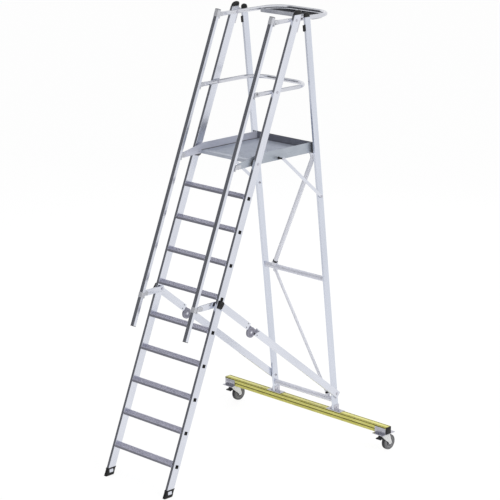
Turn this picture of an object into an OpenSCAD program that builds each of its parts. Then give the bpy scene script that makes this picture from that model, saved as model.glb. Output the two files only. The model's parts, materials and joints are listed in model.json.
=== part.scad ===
// Mobile folding platform ladder: two hinged frames, a guarded platform and a wheeled rear beam.
// All lengths are in millimetres. X runs across the ladder, Y from the climbing side to the rear, Z up.

/* [Climb] */
// Height from one tread to the next
rise = 240; // [220:1:255]
// Horizontal run of the front stiles for each rise
run = 95.6; // [90:0.1:100]
// Width over the outer faces of the stiles
frame_w = 678; // [620:2:760]
// Depth of a tread, front to rear
tread_d = 76; // [68:1:86]
// Height of a tread
tread_h = 20; // [16:1:30]
// Height of the full front face of a tread, above its set-back foot
tread_face = 14; // [8:1:15]

/* [Front stiles] */
// Depth of a front stile across its wide face
stile_depth = 66; // [56:1:72]
// Thickness of a front stile
stile_thick = 25; // [22:1:32]
// Wall of the stile extrusions
stile_wall = 2; // [1.5:0.1:3]
// Length of stile above the guard rail bolt, upright
stile_top_h = 40; // [36:1:60]

/* [Rear frame] */
// Lean of the rear stiles from upright, in degrees
rear_lean = 6.63; // [6:0.01:7.5]
// Depth of a rear stile
rear_depth = 56; // [48:1:62]
// Thickness of a rear stile
rear_thick = 20; // [18:1:22]
// Hinge pin behind the middle of the front stile
hinge_front = 57; // [56:0.1:64]
// Middle of the rear stile behind the hinge pin
hinge_rear = 61.3; // [54:0.1:68]
// Height of the hinge pin above the guard rail bolt
hinge_rise = 6; // [0:1:14]
// Radius of the hinge pins
hinge_r = 6; // [5:0.5:8]
// Diameter of the crossbars
crossbar_od = 42; // [36:1:50]
// Height of the middle crossbar
crossbar_mid_z = 1336; // [1100:10:1450]
// Height of the lower crossbar
crossbar_low_z = 304; // [300:1:340]
// Diameter of the upper brace
brace_up_od = 36; // [26:1:38]
// Diameter of the lower brace
brace_low_od = 24; // [22:1:34]

/* [Platform] */
// Depth of the deck, nose to rear edge
deck_depth = 617; // [600:1:625]
// Deck nose behind the middle of the front stile
deck_set = 18; // [10:1:25]
// Height of the deck's edge section
deck_h = 25; // [20:1:30]
// Thickness of the deck plate
deck_t = 4; // [3:0.5:6]
// Height of the toe boards above the deck
toe_h = 56; // [40:1:70]
// Thickness of the toe boards
toe_t = 4; // [3:0.5:5]

/* [Guard rails] */
// Diameter of the rail tubes
tube_od = 32; // [28:1:36]
// Wall of the rail tubes
tube_wall = 2; // [1.5:0.1:3]
// Height of the guard rail above the deck
guard_h = 1024; // [960:2:1100]
// Height of the knee rail above the deck
knee_h = 507; // [440:1:560]
// Guard rail from its stile bolt to the middle of its rear run
guard_reach = 461; // [440:1:500]
// Knee rail from its stile bolt to the middle of its rear run
knee_reach = 419; // [400:1:440]
// Bend radius of the rail tubes, at the middle of the tube
bend_r = 160; // [120:1:200]
// Depth of the tool tray, front to rear
tray_d = 206; // [195:1:230]
// Height of the tool tray
tray_h = 34; // [30:1:60]

/* [Handrails] */
// Width of a handrail
rail_w = 36; // [30:1:40]
// Depth of a handrail
rail_d = 25; // [20:1:28]
// Middle of the handrail ahead of the middle of the front stile, level
rail_offset = 222; // [218:1:236]
// Length of the links from stile bolt to handrail pin
link_len = 165; // [150:1:168]
// Middle of the handrail inside the middle of the rail tubes
rail_inset = 12; // [6:1:14]
// Height of the flat lower arms
low_bar_h = 46; // [36:1:50]
// Height of the handrail's lower end
rail_low_z = 1160; // [1000:5:1250]
// Handrail above the guard rail, upright
rail_top_h = 34; // [34:1:70]

/* [Fold arms] */
// Height of the arm pivot on the front stile
arm_z = 1380; // [1330:5:1400]
// Height of the arm pivot on the rear stile
arm_rear_z = 365; // [355:1:380]
// Width of the arm bars
arm_w = 56; // [50:1:58]
// Thickness of the arm bars
arm_t = 16; // [15:1:22]
// Knee pin from the front pivot, along the arm
arm_knee = 416; // [400:1:430]
// Radius of the knee discs
disc_r = 42; // [38:1:44]
// Knee pin below the middle line of the arm
arm_drop = 26; // [25:0.5:30]
// Strut pivot behind the platform bolt
strut_y = 266; // [258:1:272]
// Height of the strut's lower pivot below the deck
strut_drop = 376; // [366:1:386]
// Width of the struts
strut_w = 24; // [20:1:30]
// Thickness of the struts
strut_t = 8; // [6:0.5:10]

/* [Beam and casters] */
// Length of the rear beam
beam_l = 1780; // [1600:10:2000]
// Width of the rear beam
beam_w = 60; // [50:1:70]
// Height of the rear beam
beam_h = 60; // [50:1:70]
// Height of the beam's underside above the floor
caster_h = 157; // [152:1:170]
// Diameter of the wheels
wheel_od = 125; // [110:1:126]
// Width of the wheels
wheel_w = 35; // [28:1:40]
// Wheel axle behind the swivel axis
caster_trail = 58; // [50:1:62]

/* [Hidden] */
$fn = 48;

// Colours
alloy = "gainsboro";
black = [0.07, 0.07, 0.08];
steel = "silver";
yellow = [0.78, 0.74, 0.36];
rubber = [0.3, 0.3, 0.32];

// Clearances
// Gap between pieces that move past each other
clear = 0.5;
// Radial clearance of a pin in its bore
fit = 0.05;
// Overrun of a cut past the face that it opens
over = 1;

// Fasteners
bolt_r = 5;
bolt_head_r = 9;
bolt_head_h = 5;
bolt_low_h = 2.3;

// Heights and slopes that follow the climb
tread_count = 9;
deck_z = rise * (tread_count + 1);
plat_drop = 9;
plat_z = deck_z - plat_drop;
guard_z = deck_z + guard_h;
knee_z = deck_z + knee_h;
front_lean = atan(run / rise);
function front_y(z) = z * run / rise;
function front_s(z) = z / cos(front_lean);
pivot_zs = [guard_z, knee_z, plat_z, arm_z];

// Front stile across the ladder, and along itself
stile_out = frame_w / 2;
stile_in = stile_out - stile_thick;
stile_mid = (stile_out + stile_in) / 2;
stile_edge = 2.5;
foot_h = 62;
foot_grip = 14;
foot_wall = 5;
stile_s0 = front_s(foot_h) - foot_grip;
stile_top = guard_z + stile_top_h;
cap_h = 35;
cap_lip = 2;
cap_shoulder = 20;
cap_crown = 16;

// Rear stile lines
hinge_z = guard_z + hinge_rise;
hinge_y = front_y(hinge_z) + hinge_front;
rear_foot_y = hinge_y + hinge_rear + hinge_z * tan(rear_lean);
function rear_y(z) = rear_foot_y - z * tan(rear_lean);
function rear_s(z) = z / cos(rear_lean);
rear_out = stile_out;
rear_in = rear_out - rear_thick;
rear_mid = (rear_out + rear_in) / 2;
rear_top_over = 6;
rear_top = hinge_z + rear_top_over;
rear_edge = 2.5;
beam_top = caster_h + beam_h;
beam_shift = 6;
beam_y = rear_y(caster_h + beam_h / 2) - beam_shift;

// Hinge plates and lugs, in layers across the stile
hinge_boss_r = 16;
hinge_plate_t = 5;
hinge_inset = 3;
hinge_lug_t = 7;
hinge_tail = 110;
hinge_tail_d = 12;
pad_d = 15;
pad_l = 48;
pad_w = 14;
pad_below = 50;

// Treads
tread_nose = 8.5;
tread_wall = 2;
tread_setback = 3;
rib_pitch = 8;
rib_land = 4.6;
rib_depth = 1.4;
tread_y0 = -(stile_depth / 2 / cos(front_lean) + tread_nose);
plug_w = 30;
plug_l = 28;
plug_edge = 5;
plug_h = 1.6;
plug_drop = 17;

// Rails
tube_r = tube_od / 2;
tube_x = stile_in - tube_r - clear;
tongue_t = 12;
tongue_r = 14;
tongue_run = 28;
cheek_t = 5.5;
cheek_r = 16;
nut_h = 6;
nut_r = 9;
link_pin_r = 5;
rail_edge = 3;
rail_wall = 2;
clamp_d = 10;
clamp_l = 46;
rail_x = tube_x - rail_inset;
rail_s0 = front_s(rail_low_z);
rail_s1 = front_s(guard_z + rail_top_h);
rail_cap_h = 9;
rail_cap_lip = 2;

// Tool tray
tray_wall = 2;
tray_drop = 28;
tray_rear_y = front_y(guard_z) + guard_reach - tube_r - fit;
tray_front_y = tray_rear_y - tray_d;
tray_half = tube_x - tube_r - fit;
tray_corner_r = bend_r - tube_r - fit;
tray_base_z = guard_z - tray_drop;

// Platform
deck_y0 = front_y(deck_z) + deck_set;
deck_y1 = deck_y0 + deck_depth;
deck_nose_d = 40;
deck_leg_t = 4;
deck_leg_count = 4;
toe_x = tube_x - tongue_t / 2;
toe_eye_r = 22;
toe_rise_y = 46;
toe_low_y = 12;
toe_base_z = deck_z - deck_h;
toe_top_z = deck_z + toe_h;
deck_half = toe_x;
eye_y = front_y(plat_z) - link_len;
spacer_r = 34;
block_l = 12;
block_gap = 6;
rest_h = 10;
rest_l = 34;
strut_pin_r = 7;
strut_boss_r = 11;

// Fold arms, in a layer outside the stiles
arm_gap = 3;
arm_x = stile_out + arm_gap;
arm_y = front_y(arm_z);
arm_rear_y = rear_y(arm_rear_z);
arm_slope = atan2(arm_rear_z - arm_z, arm_rear_y - arm_y);
arm_len = norm([arm_rear_y - arm_y, arm_rear_z - arm_z]);
arm_over = 28;
arm_wall = 2;
arm_edge = 3;
disc_mid_t = 6;
disc_side_t = (arm_t - disc_mid_t) / 2 - clear;
disc_margin = 6;
disc_grip = 30;
knee_pin_r = 8;
knee_cap_r = 15;
knee_cap_h = 3;
arm_button_h = 3;
arm_button_r = 12;
lever_t = 6;
lever_l = 38;
lever_r = 8;
lever_turn = 54;
lever_pin_r = 4;
lever_at = 33;
lever_rise = 6;

// Struts
strut_x = stile_out + arm_gap;
strut_top_y = front_y(plat_z) + strut_y;
strut_low_z = deck_z - strut_drop;
strut_low_y = rear_y(strut_low_z);
strut_slope = atan2(plat_z - strut_low_z, strut_top_y - strut_low_y);
strut_len = norm([strut_top_y - strut_low_y, plat_z - strut_low_z]);

// Cheeks and caps where the arms cross the front stiles
saddle_l = 40;
saddle_w = 46;
saddle_t = 9;
saddle_edge = 8;
cap_skin = 1.5;
cap_reach = 28;
cap_depth = 14;
arm_start = 14;

// Rear braces
brace_top_in = 26;
brace_knot_x = 224;
brace_foot_x = 256;
brace_seat = 9;
brace_wall = 2;
knot_r = 20;
knot_low_r = 14;
brace_top_z = toe_base_z - clear - rest_h - knot_r;
crossbar_wall = 2.5;

// Beam
beam_wall = 3;
beam_groove_d = 3;
beam_groove_w = 5;
beam_groove_z = 20;
beam_ledge_z = 10;
beam_top_groove = 21;
beam_cap_t = 6;
beam_edge = 2;
bracket_t = 5;
bracket_side = 65;
bracket_cheek_h = 44;
bracket_cheek_t = 4;

// Casters
caster_inset = 55;
caster_x = beam_l / 2 - caster_inset;
plate_shift = 10;
caster_y = beam_y + plate_shift;
plate_t = 5;
plate_w = 2 * caster_inset;
plate_l = 150;
plate_ear_h = 50;
plate_ear_t = 4;
plate_bolt_r = 6;
plate_bolt_h = 4;
plate_bolt_x = 36;
plate_bolt_z = 30;
king_r = 9;
king_short = 0.5;
swivel_gap = 0.3;
head_r = 37;
head_h = 11;
crown_t = 4;
crown_front = 34;
crown_rear = 46;
fork_t = 4;
fork_gap = 3;
fork_eye_r = 17;
axle_r = 6;
axle_head_r = 10;
axle_head_h = 4;
wheel_r = wheel_od / 2;
hub_share = 0.7;
hub_r = wheel_r * hub_share;
hub_boss_r = 16;
hub_web_t = 12;
hub_rim_t = 7;
hub_side = 1.5;
tyre_edge = 5;
crown_z = caster_h - plate_t - swivel_gap - head_h - crown_t;
pedal_y = 30;
pedal_below = 18;
pedal_z = crown_z - pedal_below;
pedal_pin_r = 4;
pedal_eye_r = 9;
pedal_l = 12;
pedal_w = 56;
pedal_t = 6;
pedal_fall = 4;
pedal_toe = 22;

// The frame's origin lies under the middle of the standing ladder
foot_front = stile_depth / 2 / cos(front_lean) + foot_wall;
wheel_rear = caster_y + caster_trail + wheel_r;
mid_y = (wheel_rear - foot_front) / 2;

// Places a shape that is drawn from the foot of the front stiles into the ladder's frame
module placed() {
    translate([0, -mid_y, 0]) children();
}

// Frame along the front stiles: X across, Y square to the stile, Z up along it
module on_front() {
    placed() rotate([-front_lean, 0, 0]) children();
}

// Frame along the rear stiles
module on_rear() {
    placed() translate([0, rear_foot_y, 0]) rotate([rear_lean, 0, 0]) children();
}

// Frame along the handrails
module on_rail() {
    placed() translate([0, -rail_offset, 0]) rotate([-front_lean, 0, 0]) children();
}

// Frame along the fold arm: Y from the front pivot to the rear pivot
module on_arm() {
    placed() translate([0, arm_y, arm_z]) rotate([arm_slope, 0, 0]) children();
}

// Frame along the strut: Y from the rear stile up to the platform
module on_strut() {
    placed() translate([0, strut_low_y, strut_low_z]) rotate([strut_slope, 0, 0]) children();
}

// Right side as drawn for s = 1, its mirror image for s = -1
module side(s) {
    mirror([s < 0 ? 1 : 0, 0, 0]) children();
}

// Both sides
module pair() {
    side(1) children();
    side(-1) children();
}

// Rod along X from x, with its axis through y, z
module x_rod(x, length, y, z, r) {
    translate([x, y, z]) rotate([0, 90, 0]) cylinder(h = length, r = r);
}

// Plate of thickness t from x outwards, with its outline drawn in Y and Z
module x_plate(x, t) {
    translate([x, 0, 0]) rotate([90, 0, 90]) linear_extrude(t) children();
}

// Rectangle with cut corners
module cut_rect(w, d, c) {
    polygon([[c - w / 2, -d / 2], [w / 2 - c, -d / 2], [w / 2, c - d / 2], [w / 2, d / 2 - c],
        [w / 2 - c, d / 2], [c - w / 2, d / 2], [-w / 2, d / 2 - c], [-w / 2, c - d / 2]]);
}

// Section of a rectangular tube
module box_section(w, d, wall, c) {
    difference() {
        cut_rect(w, d, c);
        square([w - 2 * wall, d - 2 * wall], center = true);
    }
}

// Section of a round tube
module ring(od, wall) {
    difference() {
        circle(od / 2);
        circle(od / 2 - wall);
    }
}

// Front stiles

module front_stile(s) {
    color(alloy) side(s) difference() {
        on_front() translate([stile_mid, 0, stile_s0]) linear_extrude(front_s(stile_top + cap_h) - stile_s0)
            box_section(stile_thick, stile_depth, stile_wall, stile_edge);
        placed() translate([stile_in - over, front_y(stile_top) - stile_depth, stile_top])
            cube([stile_thick + 2 * over, 2 * stile_depth, 2 * stile_depth]);
        for (z = pivot_zs) {
            placed() x_rod(stile_in - over, stile_thick + 2 * over, front_y(z), z, bolt_r + fit);
        }
    }
}

module stile_left() {
    front_stile(-1);
}

module stile_right() {
    front_stile(1);
}

// Shoe at the foot of a stile: a block that is level below, with a socket for the stile
module foot_outline() {
    half = stile_depth / 2 / cos(front_lean) + foot_wall;
    polygon([[-half, 0], [half, 0], [front_y(foot_h) + half, foot_h], [front_y(foot_h) - half, foot_h]]);
}

module feet() {
    color(black) pair() difference() {
        placed() x_plate(stile_in - foot_wall / 2, stile_thick + foot_wall) foot_outline();
        on_front() translate([stile_mid, 0, stile_s0]) linear_extrude(foot_h)
            cut_rect(stile_thick + 2 * fit, stile_depth + 2 * fit, stile_edge);
    }
}

// Level domed cap over a stile end, of half width half, on a stile that leans by slope
module cap_outline(half, slope) {
    polygon([[-half, 0], [half, 0], [half + slope * cap_shoulder, cap_shoulder],
        [half - cap_crown + slope * cap_h, cap_h], [cap_crown - half + slope * cap_h, cap_h],
        [slope * cap_shoulder - half, cap_shoulder]]);
}

module front_caps() {
    color(black) pair() placed() translate([0, front_y(stile_top), stile_top]) x_plate(stile_in, stile_thick)
        cap_outline(stile_depth / 2 / cos(front_lean) + cap_lip, tan(front_lean));
}

// Treads

module tread_outline() {
    rib_count = floor(tread_d / rib_pitch);
    tread_y1 = tread_y0 + tread_d;
    ribs = [for (i = [0 : rib_count - 1]) each [
        [tread_y0 + i * rib_pitch, 0],
        [tread_y0 + i * rib_pitch + rib_land, 0],
        [tread_y0 + i * rib_pitch + rib_land, -rib_depth],
        [tread_y0 + (i + 1) * rib_pitch, -rib_depth]]];
    foot = [[tread_y1, -tread_h], [tread_y0 + tread_setback, -tread_h],
        [tread_y0 + tread_setback, -tread_face], [tread_y0, -tread_face]];
    difference() {
        polygon(concat(ribs, [[tread_y1, -rib_depth]], foot));
        translate([tread_y0 + tread_setback + tread_wall, tread_wall - tread_h])
            square([tread_d - tread_setback - 2 * tread_wall, tread_h - 2 * tread_wall - rib_depth]);
    }
}

module tread(k) {
    color(alloy) placed() translate([0, front_y(k * rise), k * rise])
        x_plate(-stile_in, 2 * stile_in) tread_outline();
}

module tread_plugs() {
    color(black) pair() for (k = [1 : tread_count]) {
        on_front() translate([0, 0, front_s(k * rise - plug_drop)])
            x_plate(stile_out, plug_h) cut_rect(plug_w, plug_l, plug_edge);
    }
}

// Hinge between the frames

module front_hinge_plates() {
    s = hinge_y * sin(front_lean) + hinge_z * cos(front_lean);
    p = hinge_y * cos(front_lean) - hinge_z * sin(front_lean);
    color(steel) pair() for (x = [stile_in + hinge_inset, stile_out - hinge_inset - hinge_plate_t]) {
        on_front() difference() {
            x_plate(x, hinge_plate_t) {
                translate([p, s]) circle(hinge_boss_r);
                translate([stile_depth / 2, s - hinge_boss_r])
                    square([p - stile_depth / 2, 2 * hinge_boss_r]);
                translate([stile_depth / 2, s - hinge_tail])
                    square([hinge_tail_d, hinge_tail]);
            }
            x_rod(x - over, hinge_plate_t + 2 * over, p, s, hinge_r + fit);
        }
    }
}

module rear_hinge_lugs() {
    s = hinge_z * cos(rear_lean) - (hinge_y - rear_foot_y) * sin(rear_lean);
    p = (hinge_y - rear_foot_y) * cos(rear_lean) + hinge_z * sin(rear_lean);
    x = stile_mid - hinge_lug_t / 2;
    color(steel) pair() on_rear() difference() {
        x_plate(x, hinge_lug_t) {
            translate([p, s]) circle(hinge_boss_r);
            translate([p, s - hinge_boss_r]) square([-rear_depth / 2 - p, hinge_boss_r]);
        }
        x_rod(x - over, hinge_lug_t + 2 * over, p, s, hinge_r + fit);
    }
}

// Bolts that the rails, the platform and the lower arms turn on

module rail_bolt(z) {
    x_in = tube_x - tube_r - clear - nut_h;
    x_rod(x_in, stile_out - x_in, front_y(z), z, bolt_r);
    x_rod(x_in, nut_h, front_y(z), z, nut_r);
    x_rod(stile_out, bolt_head_h, front_y(z), z, bolt_head_r);
}

module platform_bolt() {
    x_in = toe_x - clear;
    x_rod(x_in, stile_out - x_in, front_y(plat_z), plat_z, bolt_r);
    x_rod(stile_out, bolt_head_h, front_y(plat_z), plat_z, bolt_head_r);
}

module arm_bolt() {
    x_in = tube_x - tongue_t / 2 - clear - nut_h;
    x_rod(x_in, stile_out - x_in, arm_y, arm_z, bolt_r);
    x_rod(x_in, nut_h, arm_y, arm_z, nut_r);
    x_rod(stile_out, bolt_low_h, arm_y, arm_z, bolt_head_r);
}

module front_bolts() {
    color(steel) pair() placed() {
        rail_bolt(guard_z);
        rail_bolt(knee_z);
        platform_bolt();
        arm_bolt();
    }
}

// Black cheeks inside the front stiles at the pivots of the lower arms
module arm_saddles() {
    color(black) pair() difference() {
        on_front() translate([0, 0, front_s(arm_z)])
            x_plate(stile_in - saddle_t, saddle_t) cut_rect(saddle_w, saddle_l, saddle_edge);
        placed() x_rod(stile_in - saddle_t - over, saddle_t + 2 * over, arm_y, arm_z, bolt_r + fit);
    }
}

// Rear frame

module rear_stile(s) {
    color(alloy) side(s) difference() {
        on_rear() translate([rear_mid, 0, rear_s(caster_h)])
            linear_extrude(rear_s(rear_top + cap_h) - rear_s(caster_h))
                box_section(rear_thick, rear_depth, stile_wall, rear_edge);
        placed() translate([rear_in - over, rear_y(beam_top) - rear_depth, 0])
            cube([rear_thick + 2 * over, 2 * rear_depth, beam_top + bracket_t]);
        placed() translate([rear_in - over, rear_y(rear_top) - rear_depth, rear_top])
            cube([rear_thick + 2 * over, 2 * rear_depth, 2 * rear_depth]);
        for (z = [arm_rear_z, strut_low_z]) {
            placed() x_rod(rear_in - over, rear_thick + 2 * over, rear_y(z), z, bolt_r + fit);
        }
    }
}

module rear_stile_left() {
    rear_stile(-1);
}

module rear_stile_right() {
    rear_stile(1);
}

module rear_caps() {
    color(black) pair() placed() translate([0, rear_y(rear_top), rear_top]) x_plate(rear_in, rear_thick)
        cap_outline(rear_depth / 2 / cos(rear_lean) + cap_lip, -tan(rear_lean));
}

module crossbar(z) {
    color(alloy) on_rear() translate([-rear_in, 0, rear_s(z)]) rotate([0, 90, 0])
        linear_extrude(2 * rear_in) ring(crossbar_od, crossbar_wall);
}

module crossbar_middle() {
    crossbar(crossbar_mid_z);
}

module crossbar_lower() {
    crossbar(crossbar_low_z);
}

// Places of the fittings that hold the braces, as X and length along the rear stiles
brace_top = [rear_in - brace_top_in, rear_s(brace_top_z)];
brace_knot_up = [-brace_knot_x, rear_s(crossbar_mid_z) + crossbar_od / 2 + brace_seat];
brace_knot_down = [-brace_knot_x, rear_s(crossbar_mid_z) - crossbar_od / 2 - brace_seat];
brace_foot = [brace_foot_x, rear_s(crossbar_low_z) + crossbar_od / 2 + brace_seat];

// Fitting: a short round boss across the frame
module knot(at, wide, r) {
    translate([at[0], wide / 2, at[1]]) rotate([90, 0, 0]) cylinder(h = wide, r = r);
}

// Block between the top fitting and its stile, larger by grow all round
module top_block(grow) {
    translate([brace_top[0], -brace_up_od / 2 - grow, brace_top[1] - knot_r - grow])
        cube([knot_r + brace_top_in, brace_up_od + 2 * grow, 2 * (knot_r + grow)]);
}

// Fittings cut to the stile and the crossbars that they sit on
module brace_fittings() {
    color(black) on_rear() difference() {
        union() {
            knot(brace_top, brace_up_od, knot_r);
            top_block(0);
            knot(brace_knot_up, brace_up_od, knot_r);
            knot(brace_knot_down, brace_low_od, knot_low_r);
            knot(brace_foot, brace_low_od, knot_low_r);
        }
        translate([rear_in, -rear_depth, 0]) cube([rear_thick + knot_r, 2 * rear_depth, rear_s(rear_top)]);
        for (z = [crossbar_mid_z, crossbar_low_z]) {
            x_rod(-rear_in, 2 * rear_in, 0, rear_s(z), crossbar_od / 2 + fit);
        }
    }
}

// Tube between two fittings, cut to their round sides
module brace(from, to, od, from_r, to_r) {
    angle = atan2(to[0] - from[0], to[1] - from[1]);
    color(alloy) on_rear() difference() {
        translate([from[0], 0, from[1]]) rotate([0, angle, 0])
            linear_extrude(norm(to - from)) ring(od, brace_wall);
        knot(from, od + 2 * over, from_r + fit);
        knot(to, od + 2 * over, to_r + fit);
        top_block(fit);
        for (z = [crossbar_mid_z, crossbar_low_z]) {
            x_rod(-rear_in, 2 * rear_in, 0, rear_s(z), crossbar_od / 2 + fit);
        }
    }
}

module brace_upper() {
    brace(brace_knot_up, brace_top, brace_up_od, knot_r, knot_r);
}

module brace_lower() {
    brace(brace_foot, brace_knot_down, brace_low_od, knot_low_r, knot_low_r);
}

// Hinge pins, arm bolts and strut bolts of the rear frame
module rear_pins() {
    x_hinge = stile_in + hinge_inset - over;
    color(steel) pair() placed() {
        x_rod(x_hinge, stile_out - hinge_inset + over - x_hinge, hinge_y, hinge_z, hinge_r);
        x_rod(rear_in - nut_h, arm_x + arm_t - rear_in + nut_h, arm_rear_y, arm_rear_z, bolt_r);
        x_rod(rear_in - nut_h, nut_h, arm_rear_y, arm_rear_z, nut_r);
        x_rod(rear_out, arm_gap - clear, arm_rear_y, arm_rear_z, bolt_head_r);
        x_rod(arm_x + arm_t + clear, bolt_head_h, arm_rear_y, arm_rear_z, bolt_head_r);
        x_rod(arm_x + arm_t, clear, arm_rear_y, arm_rear_z, bolt_r);
        x_rod(rear_in - nut_h, strut_x + strut_t - rear_in + nut_h, strut_low_y, strut_low_z, bolt_r);
        x_rod(rear_in - nut_h, nut_h, strut_low_y, strut_low_z, nut_r);
        x_rod(rear_out, arm_gap - clear, strut_low_y, strut_low_z, bolt_head_r);
        x_rod(strut_x + strut_t, clear, strut_low_y, strut_low_z, bolt_r);
        x_rod(strut_x + strut_t + clear, bolt_head_h, strut_low_y, strut_low_z, bolt_head_r);
    }
}

// Black pads on the rear stiles: the fold stop below the hinge and the rest under the platform
module rear_pads() {
    rest_z = toe_base_z - clear;
    color(black) pair() {
        on_rear() translate([stile_mid - pad_w / 2, -rear_depth / 2 - pad_d, rear_s(hinge_z)])
            translate([0, 0, -pad_below - pad_l]) cube([pad_w, pad_d, pad_l]);
        placed() translate([toe_x + toe_t, deck_y1 - rest_l, rest_z - rest_h])
            cube([rear_in - toe_x - toe_t, rest_l, rest_h]);
    }
}

// Beam

module beam_outline() {
    difference() {
        cut_rect(beam_w, beam_h, beam_edge);
        square([beam_w - 2 * beam_wall - 2 * beam_groove_d, beam_h - 2 * beam_wall - 2 * beam_groove_d],
            center = true);
        for (m = [0, 1]) mirror([m, 0]) {
            translate([-beam_w / 2 - over, beam_groove_z - beam_h / 2])
                square([beam_groove_d + over, beam_groove_w]);
            translate([-beam_w / 2 - over, beam_h / 2 - beam_ledge_z])
                square([beam_groove_d / 2 + over, beam_groove_w / 2]);
            translate([-beam_top_groove, beam_h / 2 - beam_groove_d / 2])
                square([beam_groove_w / 2, beam_groove_d / 2 + over]);
        }
    }
}

module beam() {
    color(yellow) placed() translate([0, beam_y, caster_h + beam_h / 2])
        x_plate(-beam_l / 2, beam_l) beam_outline();
}

module beam_caps() {
    color(black) pair() placed() translate([0, beam_y, caster_h + beam_h / 2])
        x_plate(beam_l / 2, beam_cap_t) cut_rect(beam_w, beam_h, beam_edge);
}

// Steel seats of the rear stiles on the beam, with a cheek on each side of the stile
module beam_brackets() {
    cheek_z = beam_top + bracket_t;
    color(steel) pair() placed() {
        difference() {
            union() {
                translate([rear_in - bracket_side, beam_y - beam_w / 2, beam_top])
                    cube([rear_thick + 2 * bracket_side, beam_w, bracket_t]);
                for (x = [rear_in - bracket_cheek_t, rear_out]) {
                    translate([x, beam_y - beam_w / 2, beam_top])
                        cube([bracket_cheek_t, beam_w, bracket_t + bracket_cheek_h]);
                }
            }
            x_rod(rear_in - bracket_cheek_t - over, rear_thick + 2 * bracket_cheek_t + 2 * over,
                beam_y, cheek_z + bracket_cheek_h / 2, bolt_r + fit);
        }
        for (x = [rear_in - bracket_side / 2, rear_out + bracket_side / 2]) {
            translate([x, beam_y, cheek_z]) cylinder(h = bolt_head_h, r = bolt_head_r);
        }
    }
}

// Steel plates that carry the casters, with ears up the faces of the beam
module caster_plates() {
    color(steel) pair() placed() translate([caster_x, 0, 0]) {
        difference() {
            translate([-plate_w / 2, caster_y - plate_l / 2, caster_h - plate_t])
                cube([plate_w, plate_l, plate_t]);
            translate([0, caster_y, caster_h - plate_t - over])
                cylinder(h = plate_t + 2 * over, r = king_r + fit);
        }
        for (m = [-1, 1]) {
            face_y = beam_y + m * beam_w / 2;
            ear_y = m < 0 ? face_y - plate_ear_t : face_y;
            translate([-plate_w / 2, ear_y, caster_h]) cube([plate_w, plate_ear_t, plate_ear_h]);
            for (x = [-plate_bolt_x, plate_bolt_x]) {
                translate([x, face_y + m * plate_ear_t, caster_h + plate_bolt_z])
                    rotate([-90 * m, 0, 0]) cylinder(h = plate_bolt_h, r = plate_bolt_r);
            }
        }
    }
}

// Platform

module deck_outline() {
    rib_y = deck_y0 + deck_nose_d;
    rib_count = floor((deck_depth - deck_nose_d) / rib_pitch);
    ribs = [for (i = [0 : rib_count - 1]) each [
        [rib_y + i * rib_pitch, deck_z - rib_depth],
        [rib_y + (i + 1) * rib_pitch - rib_land, deck_z - rib_depth],
        [rib_y + (i + 1) * rib_pitch - rib_land, deck_z],
        [rib_y + (i + 1) * rib_pitch, deck_z]]];
    tail = [[rib_y + rib_count * rib_pitch, deck_z - rib_depth], [deck_y1, deck_z - rib_depth],
        [deck_y1, deck_z - deck_t], [deck_y0, deck_z - deck_t]];
    polygon(concat([[deck_y0, deck_z], [rib_y, deck_z]], ribs, tail));
}

// Plate with a smooth nose strip and fine ribs, a boxed nose below it and stiffening legs
module deck() {
    leg_z = deck_z - deck_h;
    color(alloy) placed() union() {
        x_plate(-deck_half, 2 * deck_half) deck_outline();
        translate([-deck_half, deck_y0, leg_z]) cube([2 * deck_half, deck_leg_t, deck_h - rib_depth]);
        translate([-deck_half, deck_y0, leg_z]) cube([2 * deck_half, deck_nose_d, deck_leg_t]);
        translate([-deck_half, deck_y0 + deck_nose_d - deck_leg_t, leg_z])
            cube([2 * deck_half, deck_leg_t, deck_h - rib_depth]);
        for (i = [1 : deck_leg_count]) {
            translate([-deck_half, deck_y0 + (deck_depth - deck_leg_t) * i / deck_leg_count, leg_z])
                cube([2 * deck_half, deck_leg_t, deck_h - rib_depth]);
        }
    }
}

module toe_outline() {
    y_rise = front_y(deck_z) + toe_rise_y;
    polygon([[eye_y, plat_z - toe_eye_r], [front_y(plat_z) - toe_low_y, toe_base_z],
        [deck_y1 + toe_t, toe_base_z], [deck_y1 + toe_t, toe_top_z], [y_rise, toe_top_z],
        [eye_y, plat_z + toe_eye_r]]);
    translate([eye_y, plat_z]) circle(toe_eye_r);
}

module toe_board_side(s) {
    color(alloy) side(s) placed() difference() {
        union() {
            x_plate(toe_x, toe_t) toe_outline();
            x_rod(toe_x, tongue_t, eye_y, plat_z, tongue_r);
        }
        x_rod(toe_x - tongue_t, 2 * tongue_t, eye_y, plat_z, link_pin_r + fit);
        x_rod(toe_x - over, toe_t + 2 * over, front_y(plat_z), plat_z, bolt_r + fit);
    }
}

module toe_board_left() {
    toe_board_side(-1);
}

module toe_board_right() {
    toe_board_side(1);
}

module toe_board_rear() {
    color(alloy) placed() translate([-deck_half, deck_y1, toe_base_z])
        cube([2 * deck_half, toe_t, toe_top_z - toe_base_z]);
}

// Black bearing washers at the platform bolts and black blocks at the rear corners
module platform_blocks() {
    x = toe_x + toe_t;
    color(black) pair() placed() {
        difference() {
            x_rod(x, stile_in - clear - x, front_y(plat_z), plat_z, spacer_r);
            x_rod(x - over, stile_thick, front_y(plat_z), plat_z, bolt_r + fit);
        }
        translate([x, deck_y1 + toe_t - block_l, toe_base_z])
            cube([rear_in - block_gap - x, block_l, toe_top_z - toe_base_z]);
    }
}

module strut_pins() {
    x = toe_x + toe_t;
    color(black) pair() placed() {
        x_rod(x, strut_x - clear - x, strut_top_y, plat_z, strut_pin_r);
        x_rod(x, toe_t, strut_top_y, plat_z, strut_boss_r);
    }
}

// Rails

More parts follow.
